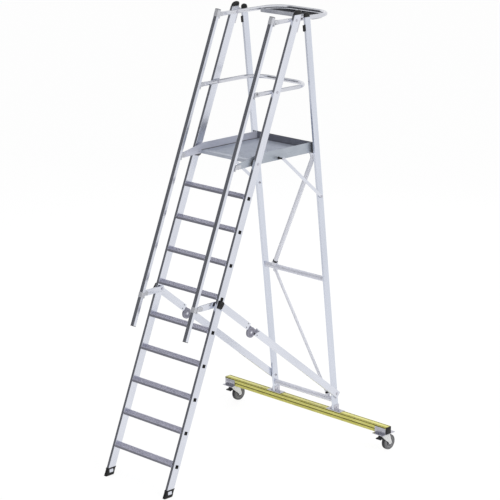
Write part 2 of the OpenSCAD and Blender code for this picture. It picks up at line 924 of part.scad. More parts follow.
// Flat tongue with an eye, from the pin at y back towards the tube
module tongue(y, z, length, r) {
    difference() {
        x_plate(tube_x - tongue_t / 2, tongue_t) {
            translate([y, z]) circle(tongue_r);
            translate([y, z - tongue_r]) square([length, 2 * tongue_r]);
        }
        x_rod(tube_x - tongue_t, 2 * tongue_t, y, z, r + fit);
    }
}

module hoop(z, reach) {
    y_pin = front_y(z) - link_len;
    y_tube = y_pin + tongue_run;
    y_bend = front_y(z) + reach - bend_r;
    x_bend = tube_x - bend_r;
    color(alloy) placed() difference() {
        union() {
            pair() {
                tongue(y_pin, z, tongue_run + tongue_r, link_pin_r);
                translate([tube_x, y_tube, z]) rotate([-90, 0, 0])
                    linear_extrude(y_bend - y_tube) ring(tube_od, tube_wall);
                translate([x_bend, y_bend, z]) rotate_extrude(angle = 90)
                    translate([bend_r, 0]) ring(tube_od, tube_wall);
            }
            translate([-x_bend, y_bend + bend_r, z]) rotate([0, 90, 0])
                linear_extrude(2 * x_bend) ring(tube_od, tube_wall);
        }
        pair() x_rod(tube_x - tube_r - over, tube_od + 2 * over, front_y(z), z, bolt_r + fit);
    }
}

module guard_hoop() {
    hoop(guard_z, guard_reach);
}

module knee_hoop() {
    hoop(knee_z, knee_reach);
}

// Outline of the tray, set in by inset, with its rear corners rounded inside the bends
module tray_plan(inset) {
    r = tray_corner_r - inset;
    half = tray_half - inset;
    y0 = tray_front_y + inset;
    y_corner = tray_rear_y - tray_corner_r;
    translate([-half, y0]) square([2 * half, y_corner - y0]);
    translate([r - half, y0]) square([2 * (half - r), y_corner + r - y0]);
    intersection() {
        for (x = [r - half, half - r]) {
            translate([x, y_corner]) circle(r);
        }
        translate([-half, y_corner]) square([2 * half, r]);
    }
}

module tool_tray() {
    color(alloy) placed() difference() {
        translate([0, 0, tray_base_z]) linear_extrude(tray_h) tray_plan(0);
        translate([0, 0, tray_base_z + tray_wall]) linear_extrude(tray_h) tray_plan(tray_wall);
    }
}

// Handrails

module handrail(s) {
    color(alloy) side(s) on_rail() translate([rail_x, 0, rail_s0]) linear_extrude(rail_s1 - rail_s0)
        box_section(rail_w, rail_d, rail_wall, rail_edge);
}

module handrail_left() {
    handrail(-1);
}

module handrail_right() {
    handrail(1);
}

// Sleeve with a closed end, from s along the rail; dir is 1 for the upper end, -1 for the lower end
module rail_cap(s, dir, grip) {
    s0 = dir > 0 ? s - grip : s - rail_cap_h;
    s_cut = dir > 0 ? s - 2 * grip : s;
    difference() {
        translate([rail_x, 0, s0]) linear_extrude(grip + rail_cap_h)
            cut_rect(rail_w + 2 * rail_cap_lip, rail_d + 2 * rail_cap_lip, rail_edge);
        translate([rail_x, 0, s_cut]) linear_extrude(2 * grip)
            cut_rect(rail_w + 2 * fit, rail_d + 2 * fit, rail_edge);
    }
}

module handrail_caps() {
    color(steel) pair() on_rail() {
        rail_cap(rail_s1, 1, rail_cap_h);
        rail_cap(rail_s0, -1, rail_cap_h);
    }
}

// Clamp: a saddle behind the handrail with two cheeks and the pin that a link turns on
module clamp(z) {
    y_pin = front_y(z) - link_len;
    y_rail = front_y(z) - rail_offset;
    gap = tongue_t / 2 + clear;
    x_in = rail_x - rail_w / 2;
    x_out = tube_x + gap + cheek_t;
    difference() {
        union() {
            on_rail() translate([x_in, rail_d / 2, front_s(z) - clamp_l / 2])
                cube([x_out - x_in, clamp_d, clamp_l]);
            placed() for (x = [tube_x - gap - cheek_t, tube_x + gap]) {
                x_plate(x, cheek_t) {
                    translate([y_pin, z]) circle(cheek_r);
                    translate([y_rail, z - cheek_r]) square([y_pin - y_rail, 2 * cheek_r]);
                }
            }
            placed() x_rod(tube_x - gap, 2 * gap, y_pin, z, link_pin_r);
        }
        on_rail() translate([x_in - over, -rail_d, front_s(z) - clamp_l])
            cube([x_out - x_in + 2 * over, rail_d * 3 / 2, 2 * clamp_l]);
    }
}

module handrail_clamps() {
    color(steel) pair() for (z = pivot_zs) {
        clamp(z);
    }
}

// Lower arms from the front stiles to the feet of the handrails: flat bars with round ends
module lower_arms() {
    y_pin = arm_y - link_len;
    color(alloy) pair() placed() difference() {
        x_plate(tube_x - tongue_t / 2, tongue_t) {
            translate([y_pin, arm_z - low_bar_h / 2]) square([link_len, low_bar_h]);
            for (y = [y_pin, arm_y]) {
                translate([y, arm_z]) circle(low_bar_h / 2);
            }
        }
        x_rod(tube_x - tongue_t, 2 * tongue_t, y_pin, arm_z, link_pin_r + fit);
        x_rod(tube_x - tongue_t, 2 * tongue_t, arm_y, arm_z, bolt_r + fit);
    }
}

// Fold arms

// Bar from y0 to y1, filled at plug_y where it grips the plates of the knee
module arm_bar(y0, y1, plug_y) {
    translate([arm_x + arm_t / 2, y0, 0]) rotate([-90, 0, 0])
        linear_extrude(y1 - y0) box_section(arm_t, arm_w, arm_wall, arm_edge);
    translate([arm_x + arm_wall / 2, plug_y, (arm_wall - arm_w) / 2])
        cube([arm_t - arm_wall, disc_grip, arm_w - arm_wall]);
}

// Disc of the knee with the tongue that grips its bar; dir is -1 for the front bar, 1 for the rear bar
module knee_plate(x, t, dir) {
    reach = disc_r + disc_margin + disc_grip;
    x_plate(x, t) {
        translate([arm_knee, -arm_drop]) circle(disc_r);
        translate([dir < 0 ? arm_knee - reach : arm_knee, -arm_drop + arm_wall])
            square([reach, disc_r - arm_wall]);
    }
}

module front_arms() {
    x_mid = arm_x + disc_side_t + clear;
    y_end = arm_knee - disc_r - disc_margin;
    color(alloy) pair() on_arm() difference() {
        union() {
            arm_bar(-arm_start, y_end, y_end - disc_grip);
            knee_plate(x_mid, disc_mid_t, -1);
        }
        x_rod(arm_x - over, arm_t + 2 * over, arm_knee, -arm_drop, knee_pin_r + fit);
    }
}

// Black caps over the front ends of the arms, with a button over the pivot
module arm_caps() {
    half = arm_w / 2 + cap_skin;
    color(black) pair() on_arm() difference() {
        union() {
            x_plate(arm_x, arm_t + cap_skin) translate([(cap_depth - cap_reach) / 2, 0])
                cut_rect(cap_depth + cap_reach, 2 * half, saddle_edge);
            x_rod(arm_x + arm_t, cap_skin + arm_button_h, 0, 0, arm_button_r);
        }
        translate([arm_x + arm_t / 2, -arm_start, 0]) rotate([-90, 0, 0])
            linear_extrude(arm_knee) cut_rect(arm_t + 2 * fit, arm_w + 2 * fit, arm_edge);
    }
}

module rear_arms() {
    y_end = arm_knee + disc_r + disc_margin;
    color(alloy) pair() on_arm() difference() {
        union() {
            arm_bar(y_end, arm_len + arm_over, y_end);
            knee_plate(arm_x, disc_side_t, 1);
            knee_plate(arm_x + arm_t - disc_side_t, disc_side_t, 1);
            x_rod(arm_x, arm_t, arm_knee, -arm_drop, knee_pin_r);
            x_rod(arm_x + arm_t, knee_cap_h, arm_knee, -arm_drop, knee_cap_r);
            x_rod(arm_x + arm_t, clear + lever_t, arm_knee + lever_at, -arm_drop + lever_rise, lever_pin_r);
        }
        x_rod(arm_x - over, arm_t + 2 * over, arm_len, 0, bolt_r + fit);
    }
}

// Lever that releases the knee
module lock_lever(s) {
    x = arm_x + arm_t + clear;
    color(black) side(s) on_arm() difference() {
        x_plate(x, lever_t) translate([arm_knee + lever_at, -arm_drop + lever_rise]) rotate(lever_turn) {
            circle(lever_r);
            translate([0, -lever_r]) square([lever_l, 2 * lever_r]);
            translate([lever_l, 0]) circle(lever_r);
        }
        x_rod(x - over, lever_t + 2 * over, arm_knee + lever_at, -arm_drop + lever_rise, lever_pin_r + fit);
    }
}

module lock_lever_left() {
    lock_lever(-1);
}

module lock_lever_right() {
    lock_lever(1);
}

// Struts from the rear stiles to the platform, with a button over the upper pivot
module struts() {
    color(alloy) pair() on_strut() difference() {
        union() {
            x_plate(strut_x, strut_t) {
                circle(strut_w / 2);
                translate([0, -strut_w / 2]) square([strut_len, strut_w]);
                translate([strut_len, 0]) circle(strut_w / 2);
            }
            x_rod(strut_x + strut_t, arm_button_h, strut_len, 0, bolt_head_r);
        }
        x_rod(strut_x - over, strut_t + 2 * over, 0, 0, bolt_r + fit);
    }
}

// Casters

// Frame of a caster: the swivel axis is Z, the wheel trails towards +Y
module on_caster(s) {
    placed() translate([s * caster_x, caster_y, 0]) children();
}

module fork_cheek() {
    polygon([[-crown_front, crown_z + crown_t], [-crown_front, crown_z],
        [-pedal_y, pedal_z - pedal_eye_r], [caster_trail - fork_eye_r, wheel_r],
        [caster_trail + fork_eye_r, wheel_r], [crown_rear, crown_z + crown_t]]);
    translate([caster_trail, wheel_r]) circle(fork_eye_r);
    translate([-pedal_y, pedal_z]) circle(pedal_eye_r);
}

module caster_fork(s) {
    half = wheel_w / 2 + fork_gap;
    color(steel) on_caster(s) union() {
        translate([0, 0, crown_z + crown_t]) cylinder(h = head_h, r = head_r);
        translate([0, 0, crown_z]) cylinder(h = caster_h - king_short - crown_z, r = king_r);
        translate([-half - fork_t, -crown_front, crown_z])
            cube([2 * (half + fork_t), crown_front + crown_rear, crown_t]);
        for (x = [-half - fork_t, half]) {
            x_plate(x, fork_t) fork_cheek();
        }
        x_rod(-half - fork_t - axle_head_h, 2 * (half + fork_t + axle_head_h), caster_trail, wheel_r, axle_r);
        for (x = [-half - fork_t - axle_head_h, half + fork_t]) {
            x_rod(x, axle_head_h, caster_trail, wheel_r, axle_head_r);
        }
        x_rod(-half, 2 * half, -pedal_y, pedal_z, pedal_pin_r);
    }
}

module caster_fork_left() {
    caster_fork(-1);
}

module caster_fork_right() {
    caster_fork(1);
}

// Half section of the hub: boss, web and rim
module hub_section() {
    half = wheel_w / 2 - hub_side;
    bore = axle_r + fit;
    polygon([[bore, -half], [hub_boss_r, -half], [hub_boss_r, -hub_web_t / 2],
        [hub_r - hub_rim_t, -hub_web_t / 2], [hub_r - hub_rim_t, -half], [hub_r, -half], [hub_r, half],
        [hub_r - hub_rim_t, half], [hub_r - hub_rim_t, hub_web_t / 2], [hub_boss_r, hub_web_t / 2],
        [hub_boss_r, half], [bore, half]]);
}

module tyre_section() {
    half = wheel_w / 2;
    polygon([[hub_r + fit, -half], [wheel_r - tyre_edge, -half], [wheel_r, tyre_edge - half],
        [wheel_r, half - tyre_edge], [wheel_r - tyre_edge, half], [hub_r + fit, half]]);
}

// Turns a half section about the wheel's axle
module on_axle(s) {
    on_caster(s) translate([0, caster_trail, wheel_r]) rotate([0, 90, 0]) rotate_extrude() children();
}

module hub_left() {
    color(rubber) on_axle(-1) hub_section();
}

module hub_right() {
    color(rubber) on_axle(1) hub_section();
}

module tyre_left() {
    color(rubber) on_axle(-1) tyre_section();
}

module tyre_right() {
    color(rubber) on_axle(1) tyre_section();
}

// Brake pedal: a hub between the fork's ears, an arm and a wide toe
module pedal(s) {
    half = wheel_w / 2 + fork_gap - clear;
    color(black) on_caster(s) difference() {
        union() {
            x_rod(-half, 2 * half, -pedal_y, pedal_z, pedal_eye_r);
            x_plate(-half, 2 * half) polygon([[-pedal_y, pedal_z + pedal_t / 2],
                [-pedal_y, pedal_z - pedal_t / 2], [-pedal_y - pedal_l, pedal_z - pedal_t / 2 - pedal_fall],
                [-pedal_y - pedal_l, pedal_z + pedal_t / 2 - pedal_fall]]);
            translate([-pedal_w / 2, -pedal_y - pedal_l - pedal_toe, pedal_z - pedal_fall - pedal_t / 2])
                cube([pedal_w, pedal_toe, pedal_t]);
        }
        x_rod(-half - over, 2 * half + 2 * over, -pedal_y, pedal_z, pedal_pin_r + fit);
    }
}

module pedal_left() {
    pedal(-1);
}

module pedal_right() {
    pedal(1);
}

stile_left();
stile_right();
tread(1);  // tread_1
tread(2);  // tread_2
tread(3);  // tread_3
tread(4);  // tread_4
tread(5);  // tread_5
tread(6);  // tread_6
tread(7);  // tread_7
tread(8);  // tread_8
tread(9);  // tread_9
tread_plugs();
feet();
front_caps();
front_hinge_plates();
front_bolts();
arm_saddles();
rear_stile_left();
rear_stile_right();
crossbar_middle();
crossbar_lower();
brace_upper();
brace_lower();
brace_fittings();
rear_caps();
rear_hinge_lugs();
rear_pins();
rear_pads();
beam();
beam_caps();
beam_brackets();
caster_plates();
deck();
toe_board_left();
toe_board_right();
toe_board_rear();
platform_blocks();
strut_pins();
guard_hoop();
tool_tray();
knee_hoop();
handrail_left();
handrail_right();
handrail_clamps();
handrail_caps();
lower_arms();
front_arms();
arm_caps();
rear_arms();
lock_lever_left();
lock_lever_right();
struts();
caster_fork_left();
caster_fork_right();
hub_left();
hub_right();
tyre_left();
tyre_right();
pedal_left();
pedal_right();
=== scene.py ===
"""Looks of the mobile folding platform ladder: finishes, extrusions, fittings, casters, light and camera.

Lengths are in metres in the ladder's frame: X across, Y from the climbing side to the rear, Z up.
"""

import json
from math import cos, pi, radians, sin

import bmesh
import bpy
import numpy as np
from mathutils import Matrix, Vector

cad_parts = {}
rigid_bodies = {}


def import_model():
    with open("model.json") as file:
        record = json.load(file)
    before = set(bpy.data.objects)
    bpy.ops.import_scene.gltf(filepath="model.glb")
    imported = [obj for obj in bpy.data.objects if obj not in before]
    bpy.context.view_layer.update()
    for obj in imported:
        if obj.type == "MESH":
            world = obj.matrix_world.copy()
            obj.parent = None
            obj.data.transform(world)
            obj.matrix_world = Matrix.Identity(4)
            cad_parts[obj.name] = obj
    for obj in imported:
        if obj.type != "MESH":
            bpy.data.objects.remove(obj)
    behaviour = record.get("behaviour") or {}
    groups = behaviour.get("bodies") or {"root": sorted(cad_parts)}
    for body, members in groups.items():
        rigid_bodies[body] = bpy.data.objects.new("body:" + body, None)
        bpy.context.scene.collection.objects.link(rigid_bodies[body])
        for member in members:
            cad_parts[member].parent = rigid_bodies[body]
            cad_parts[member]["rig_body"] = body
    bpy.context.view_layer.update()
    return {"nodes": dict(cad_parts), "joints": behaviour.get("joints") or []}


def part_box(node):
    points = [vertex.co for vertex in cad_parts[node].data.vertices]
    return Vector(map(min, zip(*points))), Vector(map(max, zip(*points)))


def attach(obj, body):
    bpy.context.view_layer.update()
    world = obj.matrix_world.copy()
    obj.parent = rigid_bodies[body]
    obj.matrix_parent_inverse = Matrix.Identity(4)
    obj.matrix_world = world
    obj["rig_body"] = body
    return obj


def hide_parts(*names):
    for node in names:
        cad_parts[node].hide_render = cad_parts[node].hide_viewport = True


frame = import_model()

# Camera, solved from the ladder's straight lines in the photograph
CAMERA_AT = (10.566, -10.535, 5.738)
CAMERA_AZIMUTH = radians(44.442)
CAMERA_ELEVATION = radians(15.286)
CAMERA_LENS_MM = 145.22
CAMERA_SENSOR_MM = 36.0
CAMERA_CLIP_END = 200.0

# Places of the pivots
PIVOT = {j["name"]: np.array(j["pos_m"], float) for j in frame["joints"]}
GUARD = PIVOT["guard_rail_lift"]
KNEE_RAIL = PIVOT["knee_rail_lift"]
PLATFORM = PIVOT["platform_lift"]
ARM = PIVOT["lower_arm_drop"]
ARM_REAR = PIVOT["rear_arm_swing"]
ARM_KNEE = PIVOT["knee_fold"]
STRUT_LOW = PIVOT["strut_swing"]
HINGE = PIVOT["rear_fold"]
LINK = GUARD[1] - PIVOT["handrail_swing"][1]

ACROSS = np.array([1.0, 0.0, 0.0])
BACK = np.array([0.0, 1.0, 0.0])
UP = np.array([0.0, 0.0, 1.0])
NEARLY_UPRIGHT = 0.9
SIDES = ("right", "left")

# Turns sharper than these angles, in degrees, stay sharp in the shading
CREASE = 32
MOULDED_CREASE = 40
PLUG_CREASE = 45
FORMED_CREASE = 50
TUBE_CREASE = 60


def unit(vector):
    """The vector divided by its length."""
    return np.asarray(vector, float) / np.linalg.norm(vector)


def square_to(along):
    """Direction square to a line in the YZ plane, turned a quarter from it towards the front."""
    return np.array([0.0, -along[2], along[1]])


# Lines of the front stiles, rear stiles and fold arms
FRONT_ALONG = unit(GUARD - PLATFORM)
REAR_ALONG = unit(STRUT_LOW - ARM_REAR)
ARM_ALONG = unit(ARM_REAR - ARM)
ARM_SQUARE = square_to(ARM_ALONG)
# The arms' length, and the knee's place along their line and square to it
ARM_LENGTH = np.linalg.norm((ARM_REAR - ARM)[1:])
KNEE_AT = (ARM_KNEE - ARM) @ ARM_ALONG
KNEE_DROP = (ARM_KNEE - ARM) @ ARM_SQUARE


def at_height(point, along, z):
    """Point of the line through point, along a direction, at height z."""
    return point + along * ((z - point[2]) / along[2])


def beside(point, x):
    """The point moved across the ladder to x."""
    return np.array([x, point[1], point[2]])


def span(node, axis):
    """Lowest and highest place of a CAD node along X, Y or Z (0, 1 or 2)."""
    low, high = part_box(node)
    return low[axis], high[axis]


def cad_points(node):
    """Points of a CAD node, as rows of X, Y and Z."""
    vertices = frame["nodes"][node].data.vertices
    flat = np.empty(3 * len(vertices))
    vertices.foreach_get("co", flat)
    return flat.reshape(-1, 3)


def right_span(node):
    """Lowest and highest X of the right one of a pair of mirrored pieces."""
    x = cad_points(node)[:, 0]
    return x[x > 0].min(), x.max()


def smooth_step(t):
    """3 t^2 - 2 t^3, with t held between 0 and 1."""
    t = np.clip(t, 0, 1)
    return t * t * (3 - 2 * t)


# Outlines

ARC_STEPS = 5
ARC_EASE = 0.0004
EASE_SHARE = 0.2
ROUND_SIDES = 48
PILL_STEPS = 14
RIM_STEPS = 4


def rounded(corners, radius, steps=ARC_STEPS, ease=ARC_EASE):
    """Closed outline whose corners are arcs. Each arc is tangent to both sides and starts radius / tan(half
    the corner's angle) before the corner. A point just beyond each end of an arc, at the distance ease or a
    share of the radius, keeps flats flat."""
    corners = np.asarray(corners, float)
    radius = np.broadcast_to(np.asarray(radius, float), len(corners))[:, None]
    before = np.roll(corners, 1, axis=0) - corners
    after = np.roll(corners, -1, axis=0) - corners
    before /= np.linalg.norm(before, axis=1)[:, None]
    after /= np.linalg.norm(after, axis=1)[:, None]
    half = np.arccos(np.clip((before * after).sum(1), -1, 1))[:, None] / 2
    start = corners + before * radius / np.tan(half)
    end = corners + after * radius / np.tan(half)
    middle = before + after
    middle /= np.linalg.norm(middle, axis=1)[:, None]
    centre = corners + middle * radius / np.sin(half)
    turn = (pi - 2 * half)[:, None]
    t = np.linspace(0, 1, steps)[None, :, None]
    arcs = np.sin((1 - t) * turn) * (start - centre)[:, None] + np.sin(t * turn) * (end - centre)[:, None]
    arcs = centre[:, None] + arcs / np.sin(turn)
    ease = np.minimum(ease, radius * EASE_SHARE)
    first = (start + before * ease)[:, None]
    last = (end + after * ease)[:, None]
    return np.concatenate([first, arcs, last], axis=1).reshape(-1, 2)


def box_outline(wide, deep, radius, steps=ARC_STEPS):
    """Rounded rectangle about the origin, anticlockwise."""
    half = np.array([wide, deep]) / 2
    return rounded(np.array([[-1, -1], [1, -1], [1, 1], [-1, 1]]) * half, radius, steps)


def round_outline(radius):
    """Circle of points about the origin, anticlockwise."""
    a = np.arange(ROUND_SIDES) * 2 * pi / ROUND_SIDES
    return np.stack([np.cos(a), np.sin(a)], axis=1) * radius


def pill_outline(length, radius):
    """Long hole shape: half circles about the origin and about (length, 0), anticlockwise."""
    a = np.linspace(pi / 2, 3 * pi / 2, PILL_STEPS)
    left = np.stack([np.cos(a), np.sin(a)], axis=1) * radius
    return np.concatenate([left, [length, 0] - left])


def laid_along(outline, start, along):
    """Outline drawn along a line and square to it, as (Y, Z) points. It is put in the other order where the
    sum of y z' - y' z over its sides is negative, so that it stays anticlockwise."""
    flat = start[1:] + outline[:, :1] * along[1:] + outline[:, 1:] * square_to(along)[1:]
    y, z = flat.T
    area = np.sum(y * np.roll(z, -1) - np.roll(y, -1) * z)
    return flat if area > 0 else flat[::-1]


def inset(outline, distances):
    """Anticlockwise outline moved inwards by each distance: a point goes along the mean of the inward
    normals of its two sides. Gives an array of (distances, points, 2)."""
    side = np.roll(outline, -1, axis=0) - outline
    side /= np.linalg.norm(side, axis=1)[:, None]
    normal = np.stack([-side[:, 1], side[:, 0]], axis=1)
    mean = normal + np.roll(normal, 1, axis=0)
    mean /= (mean * normal).sum(1)[:, None]
    return outline + mean * np.asarray(distances, float)[:, None, None]


def quarter_round(radius, steps):
    """Rows radius (1 - sin k) and radius (1 - cos k) for k from 0 to a quarter turn."""
    k = np.linspace(0, pi / 2, steps)
    return radius * (1 - np.sin(k)), radius * (1 - np.cos(k))


# Skins

TURNED_SIDES = 48
PIN_SIDES = 32
BOLT_SIDES = 24
DOME_STEPS = 6
HEX_TWIST = 0.3
# Bolt head and washer as (share of the head's height, share of its corner radius)
HEX_PROFILE = np.array([(0.22, 1), (0.85, 1), (1, 0.84)])
WASHER_PROFILE = np.array([(0, 0), (0, 1.32), (0.154, 1.32), (0.22, 1.25), (0.22, 0)])


def skin(rings, loop=False):
    """Quads between neighbouring rings of points, with one polygon over each end, or with loop the last
    ring joined to the first. The rings are an array of (rings, points, 3)."""
    count, size, _ = rings.shape
    index = np.arange(count * size).reshape(count, size)
    here = index if loop else index[:-1]
    there = np.roll(index, -1, axis=0) if loop else index[1:]
    quads = np.stack([here, np.roll(here, -1, axis=1), np.roll(there, -1, axis=1), there], axis=-1)
    faces = quads.reshape(-1, 4).tolist()
    if not loop:
        faces += [index[0][::-1].tolist(), index[-1].tolist()]
    return rings.reshape(-1, 3), faces


def carried(outlines, origin, wide, deep, along=UP, s=0.0):
    """Skin over outlines in space: origin + a wide + b deep + s along for each outline's points (a, b)."""
    return skin(origin + outlines[..., :1] * wide + outlines[..., 1:] * deep + s * along)


def bar(outline, origin, along, low, high):
    """Straight bar along a line in the YZ plane, from low to high along it. These are lengths, or one
    length for each point of the outline where an end is cut askew."""
    s = np.stack([np.broadcast_to(end, len(outline)) for end in (low, high)])
    return carried(outline, origin, ACROSS, -square_to(along), along, s[..., None])


def level_cut(outline, origin, along, z):
    """Lengths along a leaning bar at which each point of its outline reaches height z."""
    return (z - origin[2] + outline[:, 1] * square_to(along)[2]) / along[2]


def stacked(outline, insets, heights):
    """Level outlines above each other, each inset by its own distance. A height is one number, or one for
    each point of the outline."""
    level = np.stack([np.broadcast_to(z, len(outline)) for z in heights])
    return carried(inset(outline, insets), np.zeros(3), ACROSS, BACK, UP, level[..., None])


def leaning_stack(outline, x, point, along, z, wide, deep):
    """Level outlines of the given widths and depths at heights z, with their middles on a leaning line."""
    y = point[1] + (z - point[2]) * along[1] / along[2]
    middle = np.stack([np.full_like(z, x), y, z], axis=1)
    size = np.stack([wide, deep], axis=1)
    return carried(outline * size[:, None], middle[:, None], ACROSS, BACK)


def plate(outline, x0, x1, edge=0.0):
    """Plate between x0 and x1 with its outline drawn in Y and Z. Its rim is a quarter round: at the angle k
    the outline is inset by edge (1 - sin k) at the depth edge (1 - cos k)."""
    insets, depths = quarter_round(edge, RIM_STEPS if edge else 1)
    outlines = inset(outline, insets)
    x = np.concatenate([x0 + depths, x1 - depths[::-1]])
    both_faces = np.concatenate([outlines, outlines[::-1]])
    return carried(both_faces, np.zeros(3), BACK, UP, ACROSS, x[:, None, None])


def swept(profile, centre, axis, angles, loop=False):
    """The profile's (along, radius) points carried to each angle round an axis through centre. With loop
    the profile is closed and stays off the axis, as a tyre's does."""
    profile = np.asarray(profile, float)
    axis = unit(axis)
    first = unit(np.cross(axis, UP if abs(axis[2]) < NEARLY_UPRIGHT else ACROSS))
    second = np.cross(axis, first)
    circle = np.cos(angles)[:, None] * first + np.sin(angles)[:, None] * second
    return skin(centre + profile[:, :1, None] * axis + profile[:, 1:, None] * circle, loop)


def turned(profile, centre, axis, count=TURNED_SIDES, loop=False):
    """Solid of revolution, swept round in even steps. A radius of 0 at an end closes it in a point."""
    return swept(profile, centre, axis, np.arange(count) * 2 * pi / count, loop)


def rod(centre, axis, radius, low, high, count=PIN_SIDES):
    """Plain round rod from low to high along an axis."""
    return turned([(low, 0), (low, radius), (high, radius), (high, 0)], centre, axis, count)


def hex_head(at, axis, radius, height):
    """Hexagonal bolt head on a washer, with a smaller corner radius at its top for the turned chamfer."""
    size = [height, radius]
    washer = turned(WASHER_PROFILE * size, at, axis, PIN_SIDES)
    return [washer, swept(HEX_PROFILE * size, at, axis, np.arange(6) * pi / 3 + HEX_TWIST)]


def dome(at, axis, radius, height):
    """Rivet head: a cap of a flattened ball, radius cos t at the height sin t."""
    t = np.linspace(0, pi / 2, DOME_STEPS)
    profile = np.stack([height * np.sin(t), radius * np.cos(t)], axis=1)
    return turned(np.concatenate([[[0, 0]], profile]), at, axis, BOLT_SIDES)


def both(shapes):
    """Shapes of the right side, then their mirror images in the ladder's middle plane."""
    return shapes + [(points * [-1, 1, 1], [face[::-1] for face in faces]) for points, faces in shapes]


# Pieces

MERGE = 1e-6
CAD_MERGE = 1e-5
FLAT_ANGLE = radians(2)
BEVEL_ANGLE = radians(40)
BEVEL_STEPS = 2


def shade(mesh, finish, crease):
    """Gives a mesh its finish and smooth shading that breaks at turns sharper than crease degrees."""
    mesh.materials.clear()
    mesh.materials.append(finish)
    mesh.polygons.foreach_set("use_smooth", np.ones(len(mesh.polygons), bool))
    mesh.set_sharp_from_angle(angle=radians(crease))


def put(name, mesh, body, stands_for):
    """Object of a mesh that rides on a body and stands for CAD nodes, if any."""
    made = bpy.data.objects.new(name, mesh)
    bpy.context.scene.collection.objects.link(made)
    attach(made, body)
    if stands_for:
        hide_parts(*stands_for)
    return made


def piece(name, shapes, body, finish, stands_for=(), crease=CREASE):
    """One mesh from several skins, with doubled points merged and faces turned outwards."""
    starts = np.cumsum([0] + [len(points) for points, _ in shapes])
    points = np.concatenate([points for points, _ in shapes])
    faces = [[start + i for i in face] for start, (_, faces) in zip(starts, shapes) for face in faces]
    mesh = bpy.data.meshes.new(name)
    mesh.from_pydata(points.tolist(), [], faces)
    made = bmesh.new()
    made.from_mesh(mesh)
    bmesh.ops.remove_doubles(made, verts=made.verts, dist=MERGE)
    bmesh.ops.recalc_face_normals(made, faces=made.faces)
    made.to_mesh(mesh)
    made.free()
    shade(mesh, finish, crease)
    put(name, mesh, body, stands_for)


def rounded_copy(node, finish, edge, part="", low=-np.inf, high=np.inf):
    """Copy of a CAD node with merged triangles and rounded edges, in the node's place. A part of a node has
    a name, and holds only the solids between the heights low and high."""
    source = frame["nodes"][node]
    mesh = source.data.copy()
    made = bmesh.new()
    made.from_mesh(mesh)
    outside = [v for v in made.verts if not low < v.co.z < high]
    bmesh.ops.delete(made, geom=outside, context="VERTS")
    bmesh.ops.remove_doubles(made, verts=made.verts, dist=CAD_MERGE)
    bmesh.ops.dissolve_limit(made, angle_limit=FLAT_ANGLE, verts=made.verts, edges=made.edges)
    made.to_mesh(mesh)
    made.free()
    shade(mesh, finish, CREASE)
    copy = put((part or node) + "_rounded", mesh, source["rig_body"], [node])
    bevel = copy.modifiers.new("edge", "BEVEL")
    bevel.width = edge
    bevel.segments = BEVEL_STEPS
    bevel.limit_method = "ANGLE"
    bevel.angle_limit = BEVEL_ANGLE
    bevel.harden_normals = True


# Nodes of the finishes

EVEN = (1, 1, 1)
UNTURNED = (0, 0, 0)


def start_finish(name, colour, metal, rough):
    """New finish with its node tree and its shader, set to a plain colour, metal and roughness."""
    finish = bpy.data.materials.new(name)
    finish.use_nodes = True
    tree = finish.node_tree
    shader = tree.nodes["Principled BSDF"]
    shader.inputs["Base Color"].default_value = (*colour, 1)
    shader.inputs["Metallic"].default_value = metal
    shader.inputs["Roughness"].default_value = rough
    return finish, tree, shader


def add(tree, kind, **values):
    """New node of a tree, with values for its inputs and properties by name."""
    node = tree.nodes.new(kind)
    for key, value in values.items():
        if key in node.inputs:
            node.inputs[key].default_value = value
        else:
            setattr(node, key, value)
    return node


def link(tree, source, target):
    """Feeds one node's output into another node's input."""
    tree.links.new(source, target)


def grain(tree, scale, detail, stretch=EVEN, turn=UNTURNED):
    """Noise on Object coordinates, turned and then stretched, as a value from 0 to 1."""
    where = add(tree, "ShaderNodeTexCoord")
    mapping = add(tree, "ShaderNodeMapping", Rotation=turn)
    squeeze = add(tree, "ShaderNodeVectorMath", operation="MULTIPLY")
    squeeze.inputs[1].default_value = stretch
    noise = add(tree, "ShaderNodeTexNoise", Scale=scale, Detail=detail)
    link(tree, where.outputs["Object"], mapping.inputs["Vector"])
    link(tree, mapping.outputs["Vector"], squeeze.inputs[0])
    link(tree, squeeze.outputs["Vector"], noise.inputs["Vector"])
    return noise.outputs["Fac"]


def between(tree, value, low, high, start=0.3, end=0.7, curve="LINEAR"):
    """Value mapped from start..end to low..high."""
    limits = {"From Min": start, "From Max": end, "To Min": low, "To Max": high}
    node = add(tree, "ShaderNodeMapRange", clamp=True, interpolation_type=curve, **limits)
    link(tree, value, node.inputs["Value"])
    return node.outputs["Result"]


def reckoned(tree, operation, first, second):
    """Product, larger one or the like of two values, the second a socket or a plain number."""
    node = add(tree, "ShaderNodeMath", operation=operation)
    link(tree, first, node.inputs[0])
    if isinstance(second, float):
        node.inputs[1].default_value = second
    else:
        link(tree, second, node.inputs[1])
    return node.outputs["Value"]


def mixed(tree, value, first, second, blend="MIX"):
    """Colour from the first to its blend with the second, by the value. Each is a socket or a tone."""
    node = add(tree, "ShaderNodeMix", data_type="RGBA", blend_type=blend)
    for socket, colour in zip([s for s in node.inputs if s.type == "RGBA"], (first, second)):
        if isinstance(colour, tuple):
            socket.default_value = (*colour, 1)
        else:
            link(tree, colour, socket)
    link(tree, value, node.inputs["Factor"])
    return [s for s in node.outputs if s.type == "RGBA"][0]


def mixed_shader(tree, share, first, second):
    """Shader from the first to the second, by their share."""
    node = add(tree, "ShaderNodeMixShader")
    for socket, source in zip(node.inputs, (share, first, second)):
        link(tree, source, socket)
    return node.outputs["Shader"]


# Finishes

